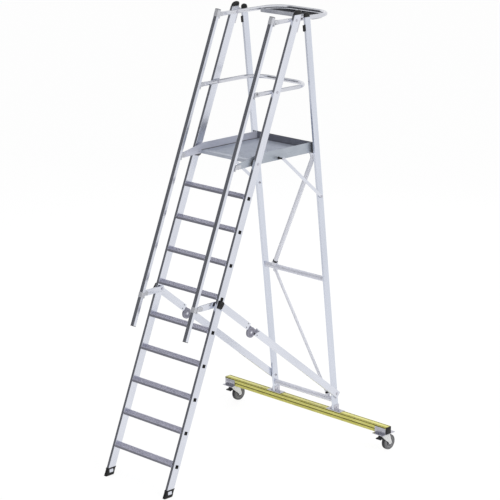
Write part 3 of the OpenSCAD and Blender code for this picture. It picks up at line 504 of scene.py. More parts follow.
# Turns that lay a finish's local Z along a piece, as angles about X, Y and Z
ALONG_FRONT = (np.arctan2(FRONT_ALONG[1], FRONT_ALONG[2]), 0, 0)
ALONG_REAR = (np.arctan2(REAR_ALONG[1], REAR_ALONG[2]), 0, 0)
ALONG_ARM = (np.arctan2(ARM_ALONG[1], ARM_ALONG[2]), 0, 0)
ALONG_X = (0, -pi / 2, 0)
# Where faces start to count as looking forward, as their normal's Y, and where they fully do; such faces get
# painted shade
FRONT_SHADE_START = -0.3
FRONT_SHADE_FULL = -0.8
HATCH_SLANT = (0, radians(40), 0)
HATCH_SCALE = 34.0
HATCH_SHARE = 0.2
HATCH_TONE = (0.5, 0.48, 0.3)
COAT_WEIGHT = 0.25
COAT_ROUGH = 0.2
CRYSTAL_SCALE = 260.0
CRYSTAL_EDGE = 0.8


def mottled(name, metal, dark, light, rough, cloud, fine, bump, cloudy_gloss=False):
    """Finish from two noises. The broad cloud drifts between two tones, and the fine one gives the relief.
    The roughness runs between two values with the fine noise, or with the cloud. A noise is (scale, detail,
    stretch, turn), and bump is (strength, depth)."""
    finish, tree, shader = start_finish(name, light, metal, rough[0])
    broad = grain(tree, *cloud)
    small = grain(tree, *fine)
    colour = mixed(tree, between(tree, broad, 0, 1), dark, light)
    relief = add(tree, "ShaderNodeBump", Strength=bump[0], Distance=bump[1])
    link(tree, colour, shader.inputs["Base Color"])
    link(tree, between(tree, broad if cloudy_gloss else small, *rough), shader.inputs["Roughness"])
    link(tree, small, relief.inputs["Height"])
    link(tree, relief.outputs["Normal"], shader.inputs["Normal"])
    return finish, tree, shader, colour


def drawn_alloy(name, turn, dark=(0.66, 0.68, 0.75), light=(0.74, 0.76, 0.83), rough=(0.16, 0.3), metal=1.0):
    """Extruded aluminium: fine die lines along the piece, soft cloudy tone and slightly uneven gloss."""
    cloud = (7, 4, (1, 1, 0.25), turn)
    die_lines = (900, 2, (1, 1, 0.006), turn)
    return mottled(name, metal, dark, light, rough, cloud, die_lines, bump=(0.05, 0.0004))[0]


def tube_alloy(name, dark, light):
    """Polished tube: faint handling marks and a clear shine."""
    return mottled(name, 1.0, dark, light, (0.12, 0.24), cloud=(6, 3), fine=(60, 5), bump=(0.03, 0.0005))[0]


def ribbed_alloy(name, dark, light, lip=1.0):
    """Tread and deck extrusion: satin, slightly cloudy, with fine die lines across the ladder. Faces that
    look forward keep the share lip of the colour, a painted shade for the light that falls less on them."""
    die_lines = (700, 2, (1, 1, 0.01), ALONG_X)
    finish, tree, shader, top = mottled(name, 0.5, dark, light, (0.42, 0.56), cloud=(11, 5), fine=die_lines,
                                        bump=(0.03, 0.0003))
    surface = add(tree, "ShaderNodeNewGeometry")
    split = add(tree, "ShaderNodeSeparateXYZ")
    link(tree, surface.outputs["True Normal"], split.inputs["Vector"])
    # Painted shade: faces that look forward have their colour multiplied down to the share lip
    front = between(tree, split.outputs["Y"], 1.0, 0.0, FRONT_SHADE_FULL, FRONT_SHADE_START)
    link(tree, mixed(tree, front, top, (lip, lip, lip), "MULTIPLY"), shader.inputs["Base Color"])
    return finish


def sheet_alloy(name, dark, light, metal):
    """Rolled or pressed sheet: satin, with broad rolling streaks from front to rear."""
    streaks = (500, 3, (1, 0.02, 1))
    rough = (0.26, 0.42)
    return mottled(name, metal, dark, light, rough, cloud=(9, 4), fine=streaks, bump=(0.04, 0.0004))[0]


def moulded(name, dark, light, rough, fine=1400.0, depth=0.12, gloss=0.5):
    """Moulded plastic or rubber: a fine pebbled skin and slightly cloudy colour and gloss."""
    finish, _, shader, _ = mottled(name, 0.0, dark, light, rough, cloud=(25, 3), fine=(fine, 2),
                                   bump=(depth, 0.0003), cloudy_gloss=True)
    shader.inputs["Specular IOR Level"].default_value = gloss
    return finish


def powder_coat(name, dark, light):
    """Yellow powder coat: orange peel, cloudy tone, fine slanting grip lines and a clear coat's gloss."""
    peel = (420, 2)
    finish, tree, shader, base = mottled(name, 0.0, dark, light, (0.3, 0.42), cloud=(8, 4), fine=peel,
                                         bump=(0.1, 0.0004))
    shader.inputs["Coat Weight"].default_value = COAT_WEIGHT
    shader.inputs["Coat Roughness"].default_value = COAT_ROUGH
    where = add(tree, "ShaderNodeTexCoord")
    slant = add(tree, "ShaderNodeMapping", Rotation=HATCH_SLANT)
    lines = add(tree, "ShaderNodeTexWave", Scale=HATCH_SCALE, Distortion=0.0)
    link(tree, where.outputs["Object"], slant.inputs["Vector"])
    link(tree, slant.outputs["Vector"], lines.inputs["Vector"])
    hatch = between(tree, lines.outputs["Fac"], 0.0, HATCH_SHARE, 0.0, 1.0)
    link(tree, mixed(tree, hatch, base, HATCH_TONE, "MULTIPLY"), shader.inputs["Base Color"])
    return finish


def zinc_steel(name, dark, light, rough):
    """Zinc plated steel: crystals whose tone and roughness run with the distance from scattered points."""
    finish, tree, shader = start_finish(name, light, 1.0, rough[0])
    where = add(tree, "ShaderNodeTexCoord")
    crystals = add(tree, "ShaderNodeTexVoronoi", Scale=CRYSTAL_SCALE)
    link(tree, where.outputs["Object"], crystals.inputs["Vector"])
    patch = crystals.outputs["Distance"]
    colour = mixed(tree, between(tree, patch, 0, 1, 0.0, CRYSTAL_EDGE), dark, light)
    link(tree, colour, shader.inputs["Base Color"])
    link(tree, between(tree, patch, *rough, 0.0, CRYSTAL_EDGE), shader.inputs["Roughness"])
    return finish


SATIN = (0.5, 0.62)
FRONT_ALLOY = drawn_alloy("front_stile_alloy", ALONG_FRONT)
REAR_ALLOY = drawn_alloy("rear_stile_alloy", ALONG_REAR, (0.62, 0.65, 0.73), (0.69, 0.72, 0.80))
ARM_ALLOY = drawn_alloy("arm_alloy", ALONG_ARM)
TUBE_ALLOY = tube_alloy("rail_tube_alloy", (0.60, 0.61, 0.66), (0.68, 0.69, 0.74))
# The treads' front faces get painted shade: their colour is multiplied by 0.4
STEP_ALLOY = ribbed_alloy("tread_alloy", (0.56, 0.56, 0.68), (0.63, 0.63, 0.75), lip=0.4)
DECK_ALLOY = ribbed_alloy("deck_alloy", (0.55, 0.585, 0.665), (0.62, 0.655, 0.735))
# Toe boards: one alloy in three tones set for how each board is lit. The left board's colour is lightened as
# painted light against the shade it stands in, and the rear board's is darkened as painted shade
LEFT_BOARD_LIT_ALLOY = sheet_alloy("left_toe_board_alloy", (0.52, 0.535, 0.62), (0.58, 0.595, 0.68), 0.25)
RIGHT_BOARD_ALLOY = sheet_alloy("right_toe_board_alloy", (0.38, 0.415, 0.47), (0.44, 0.475, 0.53), 0.6)
REAR_BOARD_SHADED_ALLOY = sheet_alloy("rear_toe_board_alloy", (0.22, 0.22, 0.25), (0.27, 0.27, 0.30), 0.9)
TRAY_ALLOY = sheet_alloy("tray_alloy", (0.36, 0.37, 0.41), (0.44, 0.45, 0.49), 0.7)
# Near-black sheet inside the tray: painted shade for its shaded inside
TRAY_SHADE_SHEET_GREY = sheet_alloy("tray_liner_grey", (0.035, 0.036, 0.045), (0.06, 0.062, 0.075), 0.4)
CROSS_SATIN = drawn_alloy("crossbar_satin_alloy", ALONG_X, (0.78, 0.79, 0.87), (0.86, 0.87, 0.95),
                          SATIN, metal=0.35)
BRACE_SATIN = drawn_alloy("brace_satin_alloy", ALONG_FRONT, (0.8, 0.81, 0.87), (0.88, 0.89, 0.95),
                          SATIN, metal=0.3)
ZINC = zinc_steel("zinc_steel", (0.5, 0.5, 0.56), (0.66, 0.66, 0.72), (0.24, 0.4))
FORK_STEEL = sheet_alloy("fork_steel", (0.74, 0.74, 0.74), (0.82, 0.82, 0.82), 0.4)
BLACK = moulded("black_plastic", (0.008, 0.008, 0.009), (0.014, 0.014, 0.015), (0.4, 0.55), gloss=0.3)
BLACK_GLOSS = moulded("black_gloss_plastic", (0.006, 0.006, 0.007), (0.01, 0.01, 0.011), (0.2, 0.3),
                      fine=600.0, depth=0.03, gloss=0.3)
PLUG_BLACK = moulded("plug_black_plastic", (0.004, 0.004, 0.004), (0.007, 0.007, 0.007), (0.5, 0.65),
                     gloss=0.12)
GREY = moulded("grey_plastic", (0.5, 0.51, 0.55), (0.58, 0.59, 0.63), (0.34, 0.46))
DISC_GREY = moulded("disc_grey_plastic", (0.25, 0.249, 0.315), (0.31, 0.309, 0.375), (0.3, 0.42))
# Darker grey of the ring in the knee discs' groove: painted shade
DISC_GROOVE_SHADE_GREY = moulded("disc_line_plastic", (0.19, 0.185, 0.23), (0.23, 0.225, 0.27), (0.35, 0.5))
# Near-black grey of the platform's corner blocks, also used for the painted shade strips along the deck's
# seams
CORNER_BLOCK_AND_SEAM_SHADE_GREY = moulded("corner_grey_plastic", (0.06, 0.06, 0.068), (0.085, 0.085, 0.095), (0.4, 0.55))
SLEEVE_TOP = moulded("sleeve_top_grey_plastic", (0.14, 0.14, 0.155), (0.18, 0.18, 0.195), (0.4, 0.55))
PEDAL_BLACK = moulded("pedal_dark_plastic", (0.022, 0.022, 0.024), (0.034, 0.034, 0.036), (0.35, 0.5))
# Dark olive of the strips in the beam's grooves and lines: painted shade
GROOVE_SHADE_OLIVE = moulded("groove_olive_paint", (0.14, 0.12, 0.01), (0.19, 0.165, 0.016), (0.45, 0.6))
RIVET_STEEL = moulded("rivet_steel", (0.12, 0.12, 0.135), (0.17, 0.17, 0.185), (0.3, 0.45))
YELLOW = powder_coat("yellow_powder_coat", (0.84, 0.80, 0.19), (0.93, 0.89, 0.26))
HUB_GREY = moulded("hub_grey_plastic", (0.24, 0.24, 0.25), (0.3, 0.3, 0.31), (0.4, 0.55))
TYRE_GREY = moulded("tyre_grey_rubber", (0.13, 0.13, 0.135), (0.18, 0.18, 0.185), (0.55, 0.75),
                    fine=900.0, depth=0.2)
# The tread band is the tyre's rubber made darker than the side walls: painted shade on the tread
TREAD_SHADE_GREY = moulded("tread_band_rubber", (0.035, 0.035, 0.037), (0.055, 0.055, 0.058), (0.6, 0.8),
                     fine=900.0, depth=0.2)

# Stiles

STILE_DEPTH = 0.066
STILE_EDGE = 0.002
REAR_DEPTH = 0.056
REAR_EDGE = 0.0018
# Starts of the node's and the piece's names, body and finish, then the line's point and lean, the section's
# depth and edge, and if the foot is cut level
STILES = (
    ("stile_", "front_stile_", "front_frame", FRONT_ALLOY,
     GUARD, FRONT_ALONG, STILE_DEPTH, STILE_EDGE, False),
    ("rear_stile_", "rear_upright_", "rear_frame", REAR_ALLOY,
     STRUT_LOW, REAR_ALONG, REAR_DEPTH, REAR_EDGE, True),
)


def leaning_stile(node, point, along, depth, edge, level_foot):
    """Rounded tube along its lean through a point, cut level on top and level or square at the foot."""
    x0, x1 = span(node, 0)
    z0, z1 = span(node, 2)
    outline = box_outline(x1 - x0, depth, edge)
    origin = beside(point, (x0 + x1) / 2)
    high = level_cut(outline, origin, along, z1)
    if level_foot:
        low = level_cut(outline, origin, along, z0)
    else:
        low = (z0 + depth / 2 * along[1] - point[2]) / along[2]
    return bar(outline, origin, along, low, high)


def make_stiles():
    """Front and rear stiles: rounded tubes in place of the CAD ones."""
    for word in SIDES:
        for node, name, body, finish, *shape in STILES:
            stile = leaning_stile(node + word, *shape)
            piece(name + word, [stile], body, finish, [node + word])


# Domed caps on the stile ends

CAP_STEPS = 9
CAP_SPACING = 0.8
CAP_TOP = 0.995
CAP_ROUND = 0.3
CAP_LIP = 0.004


def make_caps():
    """Domed caps: at the share k of its height a cap has (1 - k^6)^(1/3) of its width and (1 - k^3)^(1/2)
    of its depth, and its middle follows the stile's lean."""
    k = np.linspace(0, 1, CAP_STEPS) ** CAP_SPACING
    k[-1] = CAP_TOP
    outline = box_outline(1, 1, CAP_ROUND)
    for node, body, point, along, depth in (("front_caps", "front_frame", GUARD, FRONT_ALONG, STILE_DEPTH),
                                            ("rear_caps", "rear_frame", STRUT_LOW, REAR_ALONG, REAR_DEPTH)):
        x0, x1 = right_span(node)
        z0, z1 = span(node, 2)
        wide = (x1 - x0) * (1 - k ** 6) ** (1 / 3)
        deep = (depth / along[2] + CAP_LIP) * (1 - k ** 3) ** 0.5
        cap = leaning_stack(outline, (x0 + x1) / 2, point, along, z0 + k * (z1 - z0), wide, deep)
        piece(node + "_domed", both([cap]), body, BLACK_GLOSS, [node], FORMED_CREASE)


# Shoes

SHOE_ROOM = 0.005
SHOE_ROUND = 0.12
SHOE_ARC_STEPS = 6
SHOE_BRIM = 0.001
# Heights of the shoe's outlines, before two at its mouth, and how far each of them stands out
SHOE_Z = (0, 0.002, 0.005, 0.009, 0.0095, 0.013, 0.0135, 0.0185, 0.024, 0.05, 0.054, 0.0545)
SHOE_OUT = (-0.004, -0.0015, 0, 0, -0.0012, -0.0012, 0, -0.0005, -0.0012, -0.0014, -0.0012, 0, 0, -0.001)
WINDOW_Y = 0.038
WINDOW_Z = 0.026
WINDOW_ROUND = 0.005
WINDOW_AT = 0.037
PANE_NEAR = 0.0011
PANE_FAR = 0.004
PANE_EDGE = 0.0005


def make_shoes():
    """Shoes: rounded rectangles stacked along the stile's lean, with a lip at the mouth, a waist and a
    flared sole with a grip groove. A window on each side shows the stile."""
    x0, x1 = right_span("feet")
    height = span("feet", 2)[1]
    z = np.array([*SHOE_Z, height - SHOE_BRIM, height])
    out = np.array(SHOE_OUT)
    deep = STILE_DEPTH / FRONT_ALONG[2] + 2 * (SHOE_ROOM + out)
    outline = box_outline(1, 1, SHOE_ROUND, SHOE_ARC_STEPS)
    shoe = leaning_stack(outline, (x0 + x1) / 2, GUARD, FRONT_ALONG, z, x1 - x0 + 2 * out, deep)
    piece("shoes", both([shoe]), "front_frame", BLACK, ["feet"], MOULDED_CREASE)
    window = box_outline(WINDOW_Y, WINDOW_Z, WINDOW_ROUND) + at_height(GUARD, FRONT_ALONG, WINDOW_AT)[1:]
    panes = [plate(window, x1 - PANE_FAR, x1 - PANE_NEAR, PANE_EDGE),
             plate(window, x0 + PANE_NEAR, x0 + PANE_FAR, PANE_EDGE)]
    piece("shoe_windows", both(panes), "front_frame", FRONT_ALLOY)


# Plugs over the tread ends

TREADS = ["tread_%d" % number for number in range(1, 10)]
PLUG_W = 0.030
PLUG_L = 0.028
PLUG_ROUND = 0.005
PLUG_BELOW = 0.017
PLUG_STEPS = 5
PLUG_TOP = 0.5


def make_plugs():
    """Pillow plugs: a rounded square that keeps 0.9 + 0.1 cos t of its size at the share 0.4 + 0.5 sin t of
    its height, and half of it at its top."""
    x0, x1 = right_span("tread_plugs")
    t = np.linspace(0, pi / 2, PLUG_STEPS)
    size = np.concatenate([[1.0], 0.9 + 0.1 * np.cos(t), [PLUG_TOP]])
    x = x0 + (x1 - x0) * np.concatenate([[0.0], 0.4 + 0.5 * np.sin(t), [1.0]])
    outlines = box_outline(PLUG_W, PLUG_L, PLUG_ROUND) * size[:, None, None]
    deep = -square_to(FRONT_ALONG)
    plugs = []
    for tread in TREADS:
        middle = at_height(GUARD, FRONT_ALONG, span(tread, 2)[1] - PLUG_BELOW)
        plugs.append(carried(outlines, middle, deep, FRONT_ALONG, ACROSS, x[:, None, None]))
    piece("tread_plug_pillows", both(plugs), "front_frame", PLUG_BLACK, ["tread_plugs"],
          PLUG_CREASE)


# Handrails

RAIL_W = 0.036
RAIL_D = 0.025
RAIL_EDGE = 0.0022
RAIL_OFFSET = 0.222
RAIL_END_IN = 0.002
SLEEVE_WALL = 0.0021
SLEEVE_EDGE = RAIL_EDGE + SLEEVE_WALL
SLEEVE_TALL = 0.060
SLEEVE_LIP = 0.0008
CROWN_WALL = SLEEVE_WALL * 0.8
CROWN_TALL = 0.006
CROWN_RIM = 0.003
CROWN_STEPS = 5
BAND_TALL = 0.040
FOOT_PLUG_WALL = 0.0008
FOOT_PLUG_TALL = 0.004


def rail_sleeve(x, low, high, wall, edge, crowned=False):
    """Sleeve over a handrail, from low to high along it. An open end is inset by a lip. A crowned one is
    inset by rim (1 - cos k) at rim (1 - sin k) before its end."""
    if crowned:
        before, closing = quarter_round(CROWN_RIM, CROWN_STEPS)
    else:
        before = np.array([SLEEVE_LIP, 0])
        closing = before[::-1]
    outline = box_outline(RAIL_W + 2 * wall, RAIL_D + 2 * wall, edge)
    outlines = inset(outline, [SLEEVE_LIP, 0, *closing])
    s = np.array([low, low + SLEEVE_LIP, *(high - before)])
    origin = beside(GUARD - BACK * RAIL_OFFSET, x)
    return carried(outlines, origin, ACROSS, -square_to(FRONT_ALONG), FRONT_ALONG, s[:, None, None])


def make_handrails():
    """Handrails: rounded bars along the stiles' lean, with a sleeve and its crown at the top, a band at the
    lower arms and a plug in the foot."""
    x = sum(span("handrail_right", 0)) / 2
    z0, z1 = span("handrail_caps", 2)
    tilt = RAIL_D / 2 * FRONT_ALONG[1]
    foot = (z0 + tilt - GUARD[2]) / FRONT_ALONG[2]
    top = (z1 - tilt - GUARD[2]) / FRONT_ALONG[2]
    band = (ARM[2] - GUARD[2]) / FRONT_ALONG[2]
    origin = beside(GUARD - BACK * RAIL_OFFSET, x)
    outline = box_outline(RAIL_W, RAIL_D, RAIL_EDGE)
    rail = bar(outline, origin, FRONT_ALONG, foot + RAIL_END_IN, top - RAIL_END_IN)
    for word, shape in zip(SIDES, both([rail])):
        piece("hand_rail_" + word, [shape], "handrails", FRONT_ALLOY, ["handrail_" + word])
    sleeves = [rail_sleeve(x, top - SLEEVE_TALL, top - CROWN_TALL, SLEEVE_WALL, SLEEVE_EDGE, True),
               rail_sleeve(x, band - BAND_TALL / 2, band + BAND_TALL / 2, SLEEVE_WALL, SLEEVE_EDGE)]
    piece("handrail_sleeves", both(sleeves), "handrails", GREY, ["handrail_caps"])
    crown = rail_sleeve(x, top - CROWN_TALL, top, CROWN_WALL, SLEEVE_EDGE, True)
    piece("handrail_sleeve_tops", both([crown]), "handrails", SLEEVE_TOP)
    plug = rail_sleeve(x, foot, foot + FOOT_PLUG_TALL, FOOT_PLUG_WALL, RAIL_EDGE)
    piece("handrail_foot_plugs", both([plug]), "handrails", BLACK)


# Rail tubes

TUBE_R = 0.016
TUBE_SIDES = 40
TONGUE_HALF = 0.006
TONGUE_TALL = 0.0165
TONGUE_TIP = 0.0165
TIP_LEAST = 0.004
FLAT_END = 0.040
FLAT_START = 0.080
BEND_R = 0.160
BEND_STEPS = 22
# Distances from a hoop's tip: closely spaced over the pressed end, then wide apart up to the bend
TIP_RINGS = np.linspace(0.0006, 0.1, 26)
RUN_START = 0.12
RUN_STEPS = 12


def pressed_tube(path, from_end):
    """Tube along a level path whose ends are pressed flat. With f = 1 at the pressed ends and 0 past them,
    the section is a superellipse of exponent 2 + 2 f whose half width shrinks to the tongue's, and near the
    tip its half height follows a circle."""
    ahead = np.gradient(path, axis=0)
    ahead /= np.linalg.norm(ahead, axis=1)[:, None]
    sideways = np.cross(ahead, UP)
    f = 1 - smooth_step((from_end - FLAT_END) / (FLAT_START - FLAT_END))
    tip = np.clip(1 - from_end / TONGUE_TIP, 0, 1)
    half_wide = TUBE_R + f * (TONGUE_HALF - TUBE_R)
    half_tall = (TUBE_R + f * (TONGUE_TALL - TUBE_R)) * np.sqrt(np.maximum(1 - tip ** 2, TIP_LEAST))
    power = (2 / (2 + 2 * f))[:, None]
    a = np.arange(TUBE_SIDES) * 2 * pi / TUBE_SIDES
    wide = half_wide[:, None] * np.sign(np.cos(a)) * np.abs(np.cos(a)) ** power
    tall = half_tall[:, None] * np.sign(np.sin(a)) * np.abs(np.sin(a)) ** power
    return carried(np.stack([wide, tall], axis=2), path[:, None], sideways[:, None], UP)


def hoop_path(x, y0, y1, z):
    """Level path from the left tip at y0 back to the rear run at y1 and forward to the right tip, with
    round bends. Returns its points and their distances from the nearer tip."""
    straight = np.concatenate([TIP_RINGS, np.linspace(RUN_START, y1 - BEND_R - y0, RUN_STEPS)])
    left = np.stack([np.full_like(straight, -x), y0 + straight], axis=1)
    a = np.linspace(pi, pi / 2, BEND_STEPS)[1:]
    bend = np.stack([BEND_R - x + BEND_R * np.cos(a), y1 - BEND_R + BEND_R * np.sin(a)], axis=1)
    half = np.concatenate([left, bend])
    whole = np.concatenate([half, half[::-1] * [-1, 1]])
    run = np.concatenate([[0], np.cumsum(np.linalg.norm(np.diff(whole, axis=0), axis=1))])
    from_end = np.minimum(run, run[-1] - run) + TIP_RINGS[0]
    return np.concatenate([whole, np.full((len(whole), 1), z)], axis=1), from_end


def make_rail_tubes():
    """Guard hoop and knee hoop: bent tubes with pressed ends about the handrails' pins."""
    x = span("guard_hoop", 0)[1] - TUBE_R
    for node, pivot, body in (("guard_hoop", GUARD, "guard_rail"), ("knee_hoop", KNEE_RAIL, "knee_rail")):
        rear = span(node, 1)[1] - TUBE_R
        path, from_end = hoop_path(x, pivot[1] - LINK - TONGUE_TIP, rear, pivot[2])
        piece(node + "_tube", [pressed_tube(path, from_end)], body, TUBE_ALLOY, [node], TUBE_CREASE)


# Lower arms

LOWER_ARM_EDGE = 0.0015


def make_lower_arms():
    """Flat bars from the front stiles to the handrail clamps, with half-round ends about the pivots."""
    x0, x1 = right_span("lower_arms")
    z0, z1 = span("lower_arms", 2)
    outline = pill_outline(LINK, (z1 - z0) / 2) + [ARM[1] - LINK, ARM[2]]
    arm = plate(outline, x0, x1, LOWER_ARM_EDGE)
    piece("lower_arm_bars", both([arm]), "lower_arms", ARM_ALLOY, ["lower_arms"])


# Dark strips of painted shade beside the deck

SEAM_W = 0.006
SEAM_H = 0.003
SEAM_FRONT = 0.004
SEAM_SINK = 0.0008
SEAM_ROUND = 0.001


def make_deck_shade_strips():
    """Two flat near-black strips with round edges on the deck, at the foot of the side boards:
    painted shade along the seams where the boards meet the deck.
    """
    y0, y1 = span("deck", 1)
    outline = box_outline(SEAM_W, SEAM_H + SEAM_SINK, SEAM_ROUND)
    middle = span("deck", 2)[1] + (SEAM_H - SEAM_SINK) / 2
    origin = np.array([span("deck", 0)[1] - SEAM_W / 2, 0.0, middle])
    strip = bar(outline, origin, BACK, y0 + SEAM_FRONT, y1 - SEAM_FRONT)
    piece("deck_seams", both([strip]), "platform", CORNER_BLOCK_AND_SEAM_SHADE_GREY)


# Tool tray

TRAY_CORNER = 0.010
TRAY_ARC_STEPS = 16
TRAY_RIM = 0.003
TRAY_FOOT = 0.006
TRAY_FOOT_STEPS = 5
TRAY_WALL = 0.0018
TRAY_FALL = 0.016
TRAY_FALL_RUN = 0.05
BEAD_STEPS = 10
BEAD_WIDTH = 0.9
BEAD_OUT = 0.0002
SHADE_SHEET_T = 0.0012
SHADE_SHEET_BELOW = 0.004
SHADE_SHEET_SINK = 0.0003


def make_tray():
    """Tray: one outline with tight front corners and wide rear corners, stacked with insets that round the
    foot, roll the rim outwards and come back down the inner wall to the floor. The rim falls by a smooth
    step behind the front wall, so that the rail tube stands above the sides. A thin near-black sheet lies
    inside over the walls and floor: painted shade for the tray's shaded inside."""
    x1 = span("tool_tray", 0)[1] - TRAY_RIM
    y0, y1 = span("tool_tray", 1)
    z0, z1 = span("tool_tray", 2)
    front = y0 + TRAY_RIM
    rear = y1 - TRAY_RIM
    wide = BEND_R - TUBE_R - TRAY_RIM
    outline = rounded([[-x1, front], [x1, front], [x1, rear], [-x1, rear]],
                      [TRAY_CORNER, TRAY_CORNER, wide, wide], TRAY_ARC_STEPS)
    rim = z1 - TRAY_FALL * smooth_step((outline[:, 1] - y0 - TRAY_CORNER) / TRAY_FALL_RUN)
    turn_in, climb = quarter_round(TRAY_FOOT, TRAY_FOOT_STEPS)
    bead = TRAY_RIM / 2
    roll = np.linspace(-pi / 2, 3 * pi / 2, BEAD_STEPS)[1:-1]
    rolled = -bead * BEAD_WIDTH * np.cos(roll) - BEAD_OUT
    insets = [*turn_in, *rolled, TRAY_WALL, *(TRAY_WALL + turn_in[::-1])]
    heights = [*(z0 + climb), *(rim - bead + bead * h for h in np.sin(roll)), rim - TRAY_RIM,
               *(z0 + TRAY_WALL + climb[::-1])]
    tray = stacked(outline, insets, heights)
    piece("tool_tray_pressed", [tray], "guard_rail", TRAY_ALLOY, ["tool_tray"], FORMED_CREASE)
    # Painted shade: a near-black sheet just inside the tray's walls and floor, up to a little below the rim
    outer = TRAY_WALL - SHADE_SHEET_SINK
    inner = outer + SHADE_SHEET_T
    insets = [*(outer + turn_in), outer, inner, *(inner + turn_in[::-1])]
    heights = [*(z0 + outer + climb), rim - SHADE_SHEET_BELOW, rim - SHADE_SHEET_BELOW, *(z0 + inner + climb[::-1])]
    shade_sheet = stacked(outline, insets, heights)
    piece("tool_tray_liner", [shade_sheet], "guard_rail", TRAY_SHADE_SHEET_GREY, crease=FORMED_CREASE)


# Fold arms

ARM_W = 0.056
ARM_EDGE = 0.0022
ARM_FRONT_END = 0.012
ARM_REAR_END = 0.028
DISC_R = 0.042
DISC_GAP = 0.006
DISC_EDGE = 0.001
MID_DISC_T = 0.006
MID_DISC_EDGE = 0.0008
MID_TONGUE_IN = 0.000125
SLIDE = 0.0005
TONGUE_GRIP = 0.030
TONGUE_LOW = 0.004
TONGUE_HIGH = DISC_R - 0.002
TONGUE_ROUND = 0.003
TONGUE_IN = 0.0003
RIVET_R = 0.0055
RIVET_H = 0.0022
RIVET_SINK = 0.0004
RIVET_RISE = 0.016
RIVET_REACH = DISC_R + DISC_GAP + TONGUE_GRIP * 0.8
KNEE_PIN_R = 0.0085
KNEE_PIN_L = 0.0158
GROOVE_SIDES = 64
# Turned profiles on the knee discs' faces as (height above the face, radius)
OUTER_FACE = ((-0.001, 0), (-0.001, 0.040), (0.0006, 0.040), (0.0014, 0.0385), (0.0014, 0.031),
              (0.0004, 0.030), (0.0004, 0.020), (0.0018, 0.019), (0.0018, 0))
INNER_FACE = ((-0.001, 0), (-0.001, 0.040), (0.0004, 0.040), (0.001, 0.0385), (0.001, 0.031),
              (0.0004, 0.030), (0.0004, 0.020), (0.0012, 0.019), (0.0012, 0))
OUTER_CAP = ((0.0006, 0), (0.0006, 0.0080), (0.0022, 0.0080), (0.0030, 0.0070), (0.0030, 0.0030),
             (0.0020, 0.0025), (0.0020, 0))
INNER_CAP = ((0.0006, 0), (0.0006, 0.0090), (0.0014, 0.0090), (0.0018, 0.0082), (0.0018, 0))
# Darker ring that fills the discs' groove: painted shade
GROOVE_RING = ((0.0002, 0.0205), (0.0002, 0.0295), (0.0008, 0.0295), (0.0008, 0.0205))
LEVER_POST = ((0, 0), (0, 0.004), (0.0065, 0.004), (0.0068, 0.0068), (0.0084, 0.0062), (0.0088, 0))


def arm_point(s, rise):
    """Point in the YZ plane at s along the arm's line and rise square to it."""
    return ARM + ARM_ALONG * s + ARM_SQUARE * rise


def arm_plate(outline, x0, x1, edge):
    """Plate whose outline is drawn along and square to the arm's line."""
    return plate(laid_along(outline, ARM, ARM_ALONG), x0, x1, edge)


def arm_bar(x0, x1, s0, s1):
    """Rounded bar of the arm's section from s0 to s1 along its line."""
    return bar(box_outline(x1 - x0, ARM_W, ARM_EDGE), beside(ARM, (x0 + x1) / 2), ARM_ALONG, s0, s1)


def knee_outlines(towards):
    """Outlines of a knee plate: a round head about the pin, and a tongue towards one bar."""
    end = KNEE_AT + towards * (DISC_R + DISC_GAP + TONGUE_GRIP)
    low = KNEE_DROP + TONGUE_LOW
    high = KNEE_DROP + TONGUE_HIGH
    tongue = rounded([[KNEE_AT, low], [end, low], [end, high], [KNEE_AT, high]], TONGUE_ROUND)
    return round_outline(DISC_R) + [KNEE_AT, KNEE_DROP], tongue


def arm_rivets(x0, x1, towards):
    """Two rivets where a bar grips its knee plate, with a head on each side of the bar."""
    heads = []
    for rise in (RIVET_RISE, -RIVET_RISE):
        at = arm_point(KNEE_AT + towards * RIVET_REACH, rise)
        heads += [dome(beside(at, x1 - RIVET_SINK), ACROSS, RIVET_R, RIVET_H),
                  dome(beside(at, x0 + RIVET_SINK), -ACROSS, RIVET_R, RIVET_H)]
    return heads


